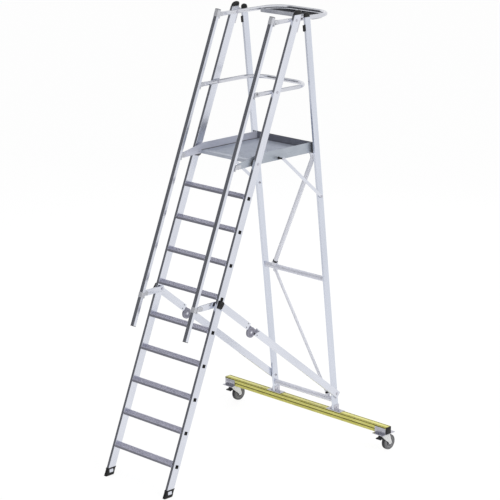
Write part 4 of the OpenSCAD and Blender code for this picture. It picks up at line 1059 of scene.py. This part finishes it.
def make_arms():
    """Fold arms: on each side a front and a rear bar that meet at the knee. The front bar's disc lies
    between the rear bar's two, which carry turned faces, a darker ring of painted shade in their groove, pin
    caps and the lever's post."""
    x0, x1 = right_span("front_arms")
    clear = DISC_R + DISC_GAP
    front = arm_bar(x0, x1, -ARM_FRONT_END, KNEE_AT - clear)
    piece("front_arm_bars", both([front]), "front_arms", ARM_ALLOY, ["front_arms"])
    low = (x0 + x1 - MID_DISC_T) / 2
    high = (x0 + x1 + MID_DISC_T) / 2
    head, tongue = knee_outlines(-1)
    plates = [arm_plate(head, low, high, MID_DISC_EDGE),
              arm_plate(tongue, low + MID_TONGUE_IN, high - MID_TONGUE_IN, MID_DISC_EDGE)]
    piece("front_knee_plates", both(plates), "front_arms", DISC_GREY)
    rear = arm_bar(x0, x1, KNEE_AT + clear, ARM_LENGTH + ARM_REAR_END)
    piece("rear_arm_bars", both([rear]), "rear_arms", ARM_ALLOY, ["rear_arms"])
    head, tongue = knee_outlines(1)
    pin = arm_point(KNEE_AT, KNEE_DROP)
    discs = [rod(beside(pin, x1), ACROSS, KNEE_PIN_R, -KNEE_PIN_L, 0)]
    for low, high in ((x0, (x0 + x1 - MID_DISC_T) / 2 - SLIDE), ((x0 + x1 + MID_DISC_T) / 2 + SLIDE, x1)):
        discs += [arm_plate(head, low, high, DISC_EDGE),
                  arm_plate(tongue, low + TONGUE_IN, high - TONGUE_IN, DISC_EDGE)]
    grooves = []
    caps = []
    for x, out, face, cap in ((x1, ACROSS, OUTER_FACE, OUTER_CAP), (x0, -ACROSS, INNER_FACE, INNER_CAP)):
        discs.append(turned(face, beside(pin, x), out))
        grooves.append(turned(GROOVE_RING, beside(pin, x), out, GROOVE_SIDES, loop=True))
        caps.append(turned(cap, beside(pin, x), out))
    piece("knee_discs", both(discs), "rear_arms", DISC_GREY)
    piece("knee_disc_grooves", both(grooves), "rear_arms", DISC_GROOVE_SHADE_GREY)
    piece("knee_pin_caps", both(caps), "rear_arms", BRACE_SATIN)
    for name, towards in (("front", -1), ("rear", 1)):
        rivets = arm_rivets(x0, x1, towards)
        piece(name + "_arm_rivets", both(rivets), name + "_arms", RIVET_STEEL)
    post = turned(LEVER_POST, beside(PIVOT["lock_lever_right_press"], x1), ACROSS, PIN_SIDES)
    piece("lever_posts", both([post]), "rear_arms", BLACK)


# Struts

STRUT_W = 0.024
STRUT_REACH = 0.266
STRUT_EDGE = 0.0016
STRUT_BUTTON_R = 0.009
STRUT_BUTTON_H = 0.003


def make_struts():
    """Struts under the platform: plates with half-round ends about their pivots, and domed upper buttons."""
    x0, x1 = right_span("struts")
    face = x1 - STRUT_BUTTON_H
    top = np.array([0.0, PLATFORM[1] + STRUT_REACH, PLATFORM[2]])
    outline = pill_outline(np.linalg.norm(top - STRUT_LOW), STRUT_W / 2)
    strut = plate(laid_along(outline, STRUT_LOW, unit(top - STRUT_LOW)), x0, face, STRUT_EDGE)
    piece("strut_bars", both([strut]), "struts", ARM_ALLOY, ["struts"])
    button = dome(beside(top, face), ACROSS, STRUT_BUTTON_R, STRUT_BUTTON_H)
    piece("strut_buttons", both([button]), "struts", ZINC)


# Crossbars and braces

CROSSBAR_R = 0.021
CROSSBAR_SIDES = 56
CROSSBAR_END = 0.0005
COLLAR_T = 0.0012
COLLAR_L = 0.016
COLLAR_LIFT = 0.004
COLLAR_LIP = 0.0005
COLLAR_BORE = 0.9


def make_crossbars():
    """Round crossbars on the line of the rear stiles, turned with a ring just inside each end."""
    for node in ("crossbar_middle", "crossbar_lower"):
        x0, x1 = span(node, 0)
        middle = at_height(STRUT_LOW, REAR_ALONG, sum(span(node, 2)) / 2)
        rings = (x0, x0 + CROSSBAR_END, x1 - CROSSBAR_END, x1)
        profile = [(x0, 0), *((x, CROSSBAR_R) for x in rings), (x1, 0)]
        tube = turned(profile, middle, ACROSS, CROSSBAR_SIDES)
        piece(node + "_tube", [tube], "rear_frame", CROSS_SATIN, [node])


def brace_line(node):
    """Lower end, direction and radius of a brace. The direction is the first axis of its points' spread."""
    points = np.unique(cad_points(node).round(5), axis=0)
    middle = (points.min(0) + points.max(0)) / 2
    along = np.linalg.svd(points - middle)[2][0]
    along *= np.sign(along[2])
    radius = np.linalg.norm(np.cross(points - middle, along), axis=1).max()
    return middle + along * ((points - middle) @ along).min(), along, radius


def make_brace_collars():
    """Black collars over the lower ends of the braces: a turned sleeve with round lips."""
    collars = []
    for node in ("brace_upper", "brace_lower"):
        foot, along, radius = brace_line(node)
        outer = radius + COLLAR_T
        end = [(0, radius * COLLAR_BORE), (0, outer - COLLAR_LIP), (COLLAR_LIP, outer)]
        low = [(COLLAR_LIFT + s, r) for s, r in end]
        high = [(COLLAR_LIFT + COLLAR_L - s, r) for s, r in end[::-1]]
        collars.append(turned(low + high, foot, along, TURNED_SIDES, loop=True))
    piece("brace_collars", collars, "rear_frame", BLACK)


# Beam

BEAM_GROOVE_LOW = 0.019
BEAM_GROOVE_W = 0.011
BEAM_GROOVE_D = 0.011
BEAM_LIP = 0.006
BEAM_LIP_LOW = 0.003
BEAM_LEDGE = (0.010, 0.003)
BEAM_LINE = (0.003, 0.013)
BEAM_LINE_D = 0.004
BEAM_ROUND = 0.0006
BEAM_CORNER = 0.0016
BEAM_ARC_STEPS = 4
BEAM_EASE = 0.0001
STRIP_T = 0.004
STRIP_ROUND = 0.0003
STRIP_END = 0.0005
BEAM_CAP_ROUND = 0.004
BEAM_CAP_EDGE = 0.0022
BOSS_IN = 0.009
BOSS_PROUD = 0.0008
BOSS_EDGE = 0.0006


def box_between(y0, y1, z0, z1, radius):
    """Rounded rectangle between two places along Y and two along Z."""
    return box_outline(y1 - y0, z1 - z0, radius) + [(y0 + y1) / 2, (z0 + z1) / 2]


def make_beam():
    """Beam: a rounded section with a deep groove and a ledge line in each face and two lines along its top.
    The lip under each groove leans back, and dark olive strips of painted shade lie at the bottom of the
    grooves and lines."""
    x0, x1 = span("beam", 0)
    y0, y1 = span("beam", 1)
    z0, z1 = span("beam", 2)
    low = z0 + BEAM_GROOVE_LOW
    high = low + BEAM_GROOVE_W
    groove = y1 - BEAM_GROOVE_D
    ledge = y1 - BEAM_LINE_D
    ledge_low, ledge_high = (z1 - depth for depth in BEAM_LEDGE)
    line_out, line_in = (y1 - depth for depth in BEAM_LINE)
    line = z1 - BEAM_LINE_D
    side = [[y1, z0], [y1, z0 + BEAM_LIP_LOW], [y1 - BEAM_LIP, low], [groove, low], [groove, high],
            [y1, high], [y1, ledge_low], [ledge, ledge_low], [ledge, ledge_high], [y1, ledge_high]]
    top = [[y1, z1], [line_out, z1], [line_out, line], [line_in, line], [line_in, z1]]
    half = np.array(side + top)
    corners = np.concatenate([half, [y0 + y1, 0] + half[::-1] * [-1, 1]])
    radius = np.full(len(corners), BEAM_ROUND)
    outer = np.array([0, len(side)])
    radius[outer] = BEAM_CORNER
    radius[-1 - outer] = BEAM_CORNER
    section = rounded(corners, radius, BEAM_ARC_STEPS, BEAM_EASE)
    piece("beam_extrusion", [plate(section, x0, x1)], "rear_frame", YELLOW, ["beam"],
          FORMED_CREASE)
    # Painted shade: dark olive strips in the grooves, the ledge lines and the top lines, where shade falls
    strips = []
    for y_low, y_high, z_low, z_high in ((groove, groove + STRIP_T, low, high),
                                         (ledge, y1 - BEAM_LINE_D / 2, ledge_low, ledge_high),
                                         (line_in, line_out, line, z1 - BEAM_LINE_D / 2)):
        for y_a, y_b in ((y_low, y_high), (y0 + y1 - y_high, y0 + y1 - y_low)):
            outline = box_between(y_a, y_b, z_low, z_high, STRIP_ROUND)
            strips.append(plate(outline, x0 + STRIP_END, x1 - STRIP_END))
    piece("beam_groove_strips", strips, "rear_frame", GROOVE_SHADE_OLIVE, crease=FORMED_CREASE)
    end = span("beam_caps", 0)[1]
    cap = plate(box_between(y0, y1, z0, z1, BEAM_CAP_ROUND), x1, end - BOSS_PROUD, BEAM_CAP_EDGE)
    inner = box_between(y0 + BOSS_IN, y1 - BOSS_IN, z0 + BOSS_IN, z1 - BOSS_IN, BEAM_CAP_ROUND)
    boss = plate(inner, x1, end, BOSS_EDGE)
    piece("beam_end_caps", both([cap, boss]), "rear_frame", BLACK, ["beam_caps"])


# Bolts

BOLT_R = 0.009
BOLT_HEAD_H = 0.005
BOLT_SHANK = 0.005
NUT_H = 0.006
FRONT_SHANK_PAST = 0.005
REAR_SHANK_PAST = 0.006
# Pivots of the front stiles, the place across of the nut's seat, the head's height, and if the nut shows
FRONT_BOLTS = (
    (GUARD, 0.281, BOLT_HEAD_H, True),
    (KNEE_RAIL, 0.281, BOLT_HEAD_H, True),
    (PLATFORM, 0.2912, BOLT_HEAD_H, False),
    (ARM, 0.2908, 0.0023, True),
)
# Pivots of the rear stiles, the node that turns there and how far the head's seat lies inside its outer face
REAR_BOLTS = ((ARM_REAR, "rear_arms", 0.0064), (STRUT_LOW, "struts", 0.0026))
SPACER_T = 0.0024
HINGE_PIN_IN = 0.0125
HINGE_PIN_R = 0.006
HINGE_PIN_HALF = 0.0105
HINGE_HEAD_R = 0.0085
HINGE_HEAD_H = 0.0026
FOOT_RIVET_RISES = (0.045, 0.105)
FOOT_RIVET_R = 0.0075
FOOT_RIVET_H = 0.003
FOOT_RIVET_SINK = 0.0002
SEAT_T = 0.005
SEAT_CHEEK = 0.004


def make_front_bolts():
    """Hexagonal bolts at the front stiles' pivots: a head outside, a shank through and a nut inside."""
    outer = span("stile_right", 0)[1]
    bolts = []
    for pivot, seat, head_h, nut in FRONT_BOLTS:
        at = beside(pivot, outer)
        bolts += hex_head(at, ACROSS, BOLT_R, head_h)
        bolts.append(rod(at, ACROSS, BOLT_SHANK, seat - FRONT_SHANK_PAST - outer, 0, BOLT_SIDES))
        if nut:
            bolts += hex_head(beside(pivot, seat), -ACROSS, BOLT_R, NUT_H)
    piece("front_hex_bolts", both(bolts), "front_frame", ZINC, ["front_bolts"])


def make_rear_bolts():
    """Hexagonal bolts with spacers at the rear stiles' pivots, and the hinge pins with their domed heads."""
    inner, outer = span("rear_stile_right", 0)
    bolts = []
    for pivot, node, depth in REAR_BOLTS:
        at = beside(pivot, span(node, 0)[1] - depth)
        bolts += hex_head(at, ACROSS, BOLT_R, BOLT_HEAD_H)
        bolts.append(rod(at, ACROSS, BOLT_SHANK, inner - REAR_SHANK_PAST - at[0], 0, BOLT_SIDES))
        bolts += hex_head(beside(pivot, inner), -ACROSS, BOLT_R, NUT_H)
        bolts.append(rod(beside(pivot, outer), ACROSS, BOLT_R, 0, SPACER_T, BOLT_SIDES))
    hinge = beside(HINGE, outer - HINGE_PIN_IN)
    bolts.append(rod(hinge, ACROSS, HINGE_PIN_R, -HINGE_PIN_HALF, HINGE_PIN_HALF))
    head = dome(beside(HINGE, span("front_hinge_plates", 0)[1]), ACROSS, HINGE_HEAD_R, HINGE_HEAD_H)
    piece("hinge_pin_heads", both([head]), "rear_frame", BLACK_GLOSS)
    piece("rear_hex_bolts", both(bolts), "rear_frame", ZINC, ["rear_pins"])


def make_foot_fasteners():
    """Domed rivets on both sides of the rear stiles' feet, and bolts in the seats beside each foot."""
    inner, outer = span("rear_stile_right", 0)
    beam_top = span("beam", 2)[1]
    rivets = []
    for rise in FOOT_RIVET_RISES:
        at = at_height(STRUT_LOW, REAR_ALONG, beam_top + rise)
        rivets += [dome(beside(at, outer - FOOT_RIVET_SINK), ACROSS, FOOT_RIVET_R, FOOT_RIVET_H),
                   dome(beside(at, inner + FOOT_RIVET_SINK), -ACROSS, FOOT_RIVET_R, FOOT_RIVET_H)]
    piece("rear_foot_rivets", both(rivets), "rear_frame", ZINC)
    outside = (span("beam_brackets", 0)[1] + outer + SEAT_CHEEK) / 2
    y = sum(span("beam", 1)) / 2
    bolts = []
    for x in (outside, inner + outer - outside):
        bolts += hex_head(np.array([x, y, beam_top + SEAT_T]), UP, BOLT_R, NUT_H)
    piece("seat_bolts", both(bolts), "rear_frame", ZINC)


# Casters

WHEEL_R = 0.0625
WHEEL_HALF = 0.0175
WHEEL_SIDES = 72
TYRE_IN = 0.0438
TYRE_CROWN_IN = 0.0026
TYRE_CROWN_STEPS = 5
# Side wall of the tyre as (in from its side, radius)
TYRE_WALL = np.array([(0, 0.052), (0.001, TYRE_IN + 0.0015), (0.002, TYRE_IN)])
SHOULDER_R = 0.005
SHOULDER_STEPS = 6
TREAD_HALF = 0.0125
TREAD_STEPS = 41
TREAD_CROWN = 0.0012
TREAD_IN = 0.058
TREAD_GROOVE_AT = 0.0055
TREAD_GROOVE_W = 0.0009
TREAD_GROOVE_D = 0.0011
AXLE_R = 0.006
HUB_SIDES = 56
# Left half of the hub's section as (along the axle, radius), from the bore to the rim
HUB_SECTION = np.array([(-0.016, AXLE_R + 0.0002), (-0.016, 0.0150), (-0.015, 0.016), (-0.006, 0.0172),
                        (-0.006, 0.0355), (-0.015, 0.0368), (-0.016, 0.0378), (-0.016, 0.0428),
                        (-0.015, 0.0437)])
HUB_RIBS = 6
HUB_RIB_FROM = 0.0155
HUB_RIB_TO = 0.0372
HUB_RIB_HALF = 0.0016
HUB_RIB_X = (0.005, 0.0125)
HUB_RIB_EDGE = 0.0008
FORK_T = 0.004
FORK_HALF = 0.0205
FORK_OUT = FORK_HALF + FORK_T
FORK_EDGE = 0.001
FORK_EYE = 0.017
FORK_EYE_STEPS = 15
# Cheek's corners after its round eye, as (behind the swivel, above the underside of the crown)
FORK_CHEEK = np.array([(0.046, 0.001), (0.042, 0.004), (-0.030, 0.004), (-0.034, 0.001), (-0.037, -0.016),
                       (-0.034, -0.024), (-0.026, -0.026)])
FORK_BELOW = 0.0063
FORK_CROWN_T = 0.004
FORK_CROWN_L = 0.078
FORK_CROWN_BACK = 0.006
FORK_CROWN_ROUND = 0.006
# Insets of the crown plate and their heights above its underside
FORK_CROWN_INSETS = (0.0008, 0, 0, 0.0012)
FORK_CROWN_Z = np.array([0, 0.0008, FORK_CROWN_T - 0.0012, FORK_CROWN_T])
# Ball race as (above the crown, radius)
RACE = ((0, 0), (0, 0.034), (0.001, 0.0362), (0.0042, 0.0368), (0.005, 0.0352), (0.0058, 0.0352),
        (0.0066, 0.0368), (0.0098, 0.0362), (0.011, 0.034), (0.011, 0))
KING_PIN_R = 0.0089
KING_PIN_H = 0.0158
AXLE_HEAD_R = 0.0088
AXLE_HEAD_H = 0.004
PEDAL_HALF = FORK_HALF - 0.0006
PEDAL_HUB_SIDES = 40
# Half of the pedal's hub as (in from its end, radius)
PEDAL_HUB = ((0, 0), (0, 0.008), (0.001, 0.009))
# Top line of the toe plate and corners of the neck, from the pedal's pin, as (Y, Z)
TOE_LINE = np.array([(0.0, 0.003), (-0.006, 0.0015), (-0.012, -0.0005), (-0.018, -0.001), (-0.024, -0.001),
                     (-0.030, -0.0016), (-0.034, -0.004)])
TOE_T = 0.0055
TOE_HALF = 0.028
TOE_EDGE = 0.0016
NECK = np.array([(-0.012, -0.0062), (0, -0.006), (0, 0.006), (-0.012, -0.0004)])
NECK_EDGE = 0.0008
GRIP_PLACES = (-0.016, -0.021, -0.026)
GRIP_DROP = 0.0006
GRIP_W = 0.0022
GRIP_H = 0.002
GRIP_ROUND = 0.0007
GRIP_HALF = 0.022
GRIP_EDGE = 0.0005


def tread_profile():
    """Closed section of the tread band as (along the axle, radius): a parabolic crown with two shallow
    grooves, each a bell curve."""
    x = np.linspace(-TREAD_HALF, TREAD_HALF, TREAD_STEPS)
    crown = WHEEL_R - TREAD_CROWN * (x / TREAD_HALF) ** 2
    crown -= TREAD_GROOVE_D * np.exp(-((np.abs(x) - TREAD_GROOVE_AT) / TREAD_GROOVE_W) ** 2)
    inside = [[TREAD_HALF, TREAD_IN], [-TREAD_HALF, TREAD_IN]]
    return np.concatenate([np.stack([x, crown], axis=1), inside])


def tyre_profile():
    """Closed section of the tyre under its tread band: flat crown, quarter-round shoulders, side walls."""
    x = np.linspace(-TREAD_HALF, TREAD_HALF, TYRE_CROWN_STEPS)
    crown = np.full(TYRE_CROWN_STEPS, WHEEL_R - TYRE_CROWN_IN)
    crown[[0, -1]] = WHEEL_R - TREAD_CROWN
    a = np.linspace(0, pi / 2, SHOULDER_STEPS)[1:]
    shoulder = np.stack([TREAD_HALF + SHOULDER_R * np.sin(a),
                         WHEEL_R - TREAD_CROWN - SHOULDER_R * (1 - np.cos(a))], axis=1)
    right = np.concatenate([shoulder, [WHEEL_HALF, 0] + TYRE_WALL * [-1, 1]])
    return np.concatenate([np.stack([x, crown], axis=1), right, right[::-1] * [-1, 1]])


def hub_shapes(axle):
    """Hub: a turned rim, web and boss with straight ribs on each side of the web."""
    section = np.concatenate([HUB_SECTION, HUB_SECTION[::-1] * [-1, 1]])
    shapes = [turned(section, axle, ACROSS, HUB_SIDES, loop=True)]
    rib = np.array([[HUB_RIB_FROM, -HUB_RIB_HALF], [HUB_RIB_TO, -HUB_RIB_HALF],
                    [HUB_RIB_TO, HUB_RIB_HALF], [HUB_RIB_FROM, HUB_RIB_HALF]])
    low, high = HUB_RIB_X
    for turn in np.arange(HUB_RIBS) * 2 * pi / HUB_RIBS:
        outline = laid_along(rib, axle, np.array([0.0, cos(turn), sin(turn)]))
        for x0, x1 in ((low, high), (-high, -low)):
            shapes.append(plate(outline, axle[0] + x0, axle[0] + x1, HUB_RIB_EDGE))
    return shapes


def fork_shapes(swivel, axle, plate_z):
    """Fork: two pressed cheeks from the crown to a round eye at the axle, the crown plate, the ball race of
    stacked turned rings, the king pin, and the axle with its bolt ends."""
    crown_low = plate_z - FORK_BELOW - FORK_CROWN_T
    a = np.linspace(-pi, 0, FORK_EYE_STEPS)
    eye = axle[1:] + FORK_EYE * np.stack([np.cos(a), np.sin(a)], axis=1)
    cheek = np.concatenate([eye, [swivel[1], crown_low] + FORK_CHEEK])
    crown = box_outline(2 * FORK_OUT, FORK_CROWN_L, FORK_CROWN_ROUND)
    crown += [swivel[0], swivel[1] + FORK_CROWN_BACK]
    base = np.array([swivel[0], swivel[1], crown_low + FORK_CROWN_T])
    shapes = [plate(cheek, axle[0] + FORK_HALF, axle[0] + FORK_OUT, FORK_EDGE),
              plate(cheek, axle[0] - FORK_OUT, axle[0] - FORK_HALF, FORK_EDGE),
              stacked(crown, FORK_CROWN_INSETS, crown_low + FORK_CROWN_Z),
              turned(RACE, base, UP, HUB_SIDES),
              rod(base, UP, KING_PIN_R, 0, KING_PIN_H),
              rod(axle, ACROSS, AXLE_R, -FORK_OUT, FORK_OUT)]
    for out in (ACROSS, -ACROSS):
        shapes += hex_head(axle + out * FORK_OUT, out, AXLE_HEAD_R, AXLE_HEAD_H)
    return shapes


def pedal_shapes(pin):
    """Pedal: a hub between the cheeks, and a dished toe plate with a dropped edge, a neck and grip ribs."""

    def across(outline, half, edge):
        """Plate of an outline about the pin, as far to both sides as half."""
        return plate(pin[1:] + outline, pin[0] - half, pin[0] + half, edge)

    left = [(s - PEDAL_HALF, r) for s, r in PEDAL_HUB]
    right = [(PEDAL_HALF - s, r) for s, r in PEDAL_HUB[::-1]]
    toe = np.concatenate([TOE_LINE, TOE_LINE[::-1] - [0, TOE_T]])
    shapes = [turned(left + right, pin, ACROSS, PEDAL_HUB_SIDES),
              across(toe, TOE_HALF, TOE_EDGE),
              across(NECK, PEDAL_HALF, NECK_EDGE)]
    for place in GRIP_PLACES:
        grip = box_outline(GRIP_W, GRIP_H, GRIP_ROUND) + [place, -GRIP_DROP]
        shapes.append(across(grip, GRIP_HALF, GRIP_EDGE))
    return shapes


def make_casters():
    """Casters: fork, tyre, tread band, hub and brake pedal of each side."""
    plate_z = span("caster_plates", 2)[0]
    for word in SIDES:
        axle = PIVOT["wheel_%s_spin" % word]
        wheel = "wheel_" + word
        fork = fork_shapes(PIVOT["caster_%s_swivel" % word], axle, plate_z)
        tyre = turned(tyre_profile(), axle, ACROSS, WHEEL_SIDES, loop=True)
        band = turned(tread_profile(), axle, ACROSS, WHEEL_SIDES, loop=True)
        pedal = pedal_shapes(PIVOT["pedal_%s_press" % word])
        piece("caster_fork_pressed_" + word, fork, "caster_" + word, FORK_STEEL,
              ["caster_fork_" + word])
        piece("tyre_moulded_" + word, [tyre], wheel, TYRE_GREY, ["tyre_" + word], MOULDED_CREASE)
        # Painted shade: the tread band takes a darker copy of the tyre's rubber
        piece("tread_band_" + word, [band], wheel, TREAD_SHADE_GREY, crease=MOULDED_CREASE)
        piece("hub_moulded_" + word, hub_shapes(axle), wheel, HUB_GREY, ["hub_" + word],
              MOULDED_CREASE)
        piece("brake_pedal_" + word, pedal, "pedal_" + word, PEDAL_BLACK, ["pedal_" + word])


# Pieces that keep their CAD shape, with rounded edges where it shows

SHEET_EDGE = 0.0008
BLOCK_EDGE = 0.0012
SADDLE_EDGE = 0.0018
ROUNDED = (
    (("front_hinge_plates", "rear_hinge_lugs", "beam_brackets", "caster_plates"), ZINC, "zinc_steel",
     SHEET_EDGE),
    (("arm_saddles", "arm_caps"), BLACK, "black_plastic", SADDLE_EDGE),
    (("platform_blocks",), CORNER_BLOCK_AND_SEAM_SHADE_GREY, "black_plastic", BLOCK_EDGE),
    (("strut_pins",), BLACK, "black_plastic", BLOCK_EDGE),
    (("brace_fittings",), BRACE_SATIN, "alloy", BLOCK_EDGE),
    (("handrail_clamps",), GREY, "grey_plastic", BLOCK_EDGE),
    (("lock_lever_left", "lock_lever_right"), DISC_GREY, "grey_plastic", BLOCK_EDGE),
    (("toe_board_left",), LEFT_BOARD_LIT_ALLOY, "alloy", SHEET_EDGE),
    (("toe_board_right",), RIGHT_BOARD_ALLOY, "alloy", SHEET_EDGE),
    (("toe_board_rear",), REAR_BOARD_SHADED_ALLOY, "alloy", SHEET_EDGE),
)
KEPT = ((TREADS, STEP_ALLOY), (["deck"], DECK_ALLOY), (["brace_upper", "brace_lower"], BRACE_SATIN))
# The rear pads are stop pads above this height and platform rests below it
PADS_FROM = GUARD[2] - 0.4


def dress_cad_nodes():
    """Rounded copies of the CAD nodes whose edges show, and finishes for those kept as they are."""
    for nodes, finish, slot, edge in ROUNDED:
        for node in nodes:
            rounded_copy(node, finish, edge)
    rounded_copy("rear_pads", BLACK, BLOCK_EDGE, part="stop_pads", low=PADS_FROM)
    rounded_copy("rear_pads", BRACE_SATIN, BLOCK_EDGE, part="platform_rests", high=PADS_FROM)
    for nodes, finish in KEPT:
        for node in nodes:
            materials = frame["nodes"][node].data.materials
            materials.clear()
            materials.append(finish)


# Stage

WHITE = (1, 1, 1)
FLOOR_HALF = 40.0
FLOOR_DROP = 0.0004
FLOOR_OWN = 0.85
FLOOR_GLOW = 1.07
FLOOR_TONE = (0.9, 0.9, 0.9)
FLOOR_ROUGH = 0.9
FLOOR_GLOSS = 0.1
SOFT_LIGHT = 0.55
# Dark drapes that only reflections show: direction, the cosines where each starts and where it is full, and
# how dark it is
DRAPES = (
    ((-0.675, -0.685, 0.22), 0.81, 0.915, 0.92),
    ((-0.45, 0.45, 0.77), 0.90, 0.97, 0.7),
)
DRAPE_TONE = (0.06, 0.061, 0.068)
# Lamps: name, place, target, size and power in watts
LAMPS = (
    ("key", (6.6, 0.2, 6.5), (0.0, 0.0, 1.6), 4.0, 260.0),
    ("rear_fill", (-3.5, 5.5, 5.5), (0.0, 0.0, 1.6), 4.0, 120.0),
)


def make_floor():
    """Pale floor that keeps the ladder's shadow: mostly its own white to the camera, the rest lit."""
    mesh = bpy.data.meshes.new("floor")
    corners = np.array([(-1, -1, 0), (1, -1, 0), (1, 1, 0), (-1, 1, 0)]) * FLOOR_HALF - UP * FLOOR_DROP
    mesh.from_pydata(corners.tolist(), [], [(0, 1, 2, 3)])
    floor = bpy.data.objects.new("floor", mesh)
    bpy.context.scene.collection.objects.link(floor)
    finish, tree, shader = start_finish("pale_floor", FLOOR_TONE, 0.0, FLOOR_ROUGH)
    shader.inputs["Specular IOR Level"].default_value = FLOOR_GLOSS
    own = add(tree, "ShaderNodeEmission", Color=(*WHITE, 1), Strength=FLOOR_GLOW)
    ray = add(tree, "ShaderNodeLightPath").outputs
    share = reckoned(tree, "MULTIPLY", ray["Is Camera Ray"], FLOOR_OWN)
    surface = mixed_shader(tree, share, shader.outputs["BSDF"], own.outputs["Emission"])
    link(tree, surface, tree.nodes["Material Output"].inputs["Surface"])
    mesh.materials.append(finish)
    floor.visible_glossy = False


def make_world():
    """White studio: the camera, metal and glass see white, with dark drapes to the front left and overhead
    that only reflections show; other rays get a softer light."""
    world = bpy.data.worlds.new("studio")
    bpy.context.scene.world = world
    world.use_nodes = True
    tree = world.node_tree
    tree.nodes.clear()
    where = add(tree, "ShaderNodeTexCoord")
    ray = add(tree, "ShaderNodeLightPath").outputs
    drapes = []
    for direction, start, end, depth in DRAPES:
        towards = add(tree, "ShaderNodeVectorMath", operation="DOT_PRODUCT")
        towards.inputs[1].default_value = unit(direction)
        link(tree, where.outputs["Generated"], towards.inputs[0])
        drapes.append(between(tree, towards.outputs["Value"], 0.0, depth, start, end, "SMOOTHSTEP"))
    dark = reckoned(tree, "MULTIPLY", reckoned(tree, "MAXIMUM", *drapes), ray["Is Glossy Ray"])
    seen = add(tree, "ShaderNodeBackground", Strength=1.0)
    link(tree, mixed(tree, dark, WHITE, DRAPE_TONE), seen.inputs["Color"])
    soft = add(tree, "ShaderNodeBackground", Color=(*WHITE, 1), Strength=SOFT_LIGHT)
    sees = reckoned(tree, "MAXIMUM", ray["Is Camera Ray"], ray["Is Glossy Ray"])
    sees = reckoned(tree, "MAXIMUM", sees, ray["Is Transmission Ray"])
    surface = mixed_shader(tree, sees, soft.outputs["Background"], seen.outputs["Background"])
    link(tree, surface, add(tree, "ShaderNodeOutputWorld").inputs["Surface"])


def aimed(at, back):
    """Place of a lamp or camera that looks away from the direction back, with its top upwards."""
    back = unit(back)
    right = unit(np.cross(UP, back))
    turn = Matrix(np.stack([right, np.cross(back, right), back], axis=1).tolist())
    return Matrix.Translation(at) @ turn.to_4x4()


def make_lamps():
    """Large soft lamps that reflections don't show."""
    for name, at, target, size, power in LAMPS:
        light = bpy.data.lights.new(name, "AREA")
        light.size = size
        light.energy = power
        lamp = bpy.data.objects.new(name, light)
        lamp.visible_glossy = False
        lamp.matrix_world = aimed(at, np.subtract(at, target))
        bpy.context.scene.collection.objects.link(lamp)


def make_camera():
    """Camera at the photograph's place and angle."""
    level = cos(CAMERA_ELEVATION)
    back = (sin(CAMERA_AZIMUTH) * level, -cos(CAMERA_AZIMUTH) * level, sin(CAMERA_ELEVATION))
    data = bpy.data.cameras.new("camera")
    data.sensor_width = CAMERA_SENSOR_MM
    data.lens = CAMERA_LENS_MM
    data.clip_end = CAMERA_CLIP_END
    camera = bpy.data.objects.new("camera", data)
    camera.matrix_world = aimed(CAMERA_AT, back)
    bpy.context.scene.collection.objects.link(camera)
    bpy.context.scene.camera = camera


make_camera()
make_stiles()
make_caps()
make_shoes()
make_plugs()
make_handrails()
make_rail_tubes()
make_lower_arms()
make_deck_shade_strips()
make_tray()
make_arms()
make_struts()
make_crossbars()
make_brace_collars()
make_beam()
make_front_bolts()
make_rear_bolts()
make_foot_fasteners()
make_casters()
dress_cad_nodes()
make_floor()
make_world()
make_lamps()
bpy.context.scene.view_settings.view_transform = "Standard"
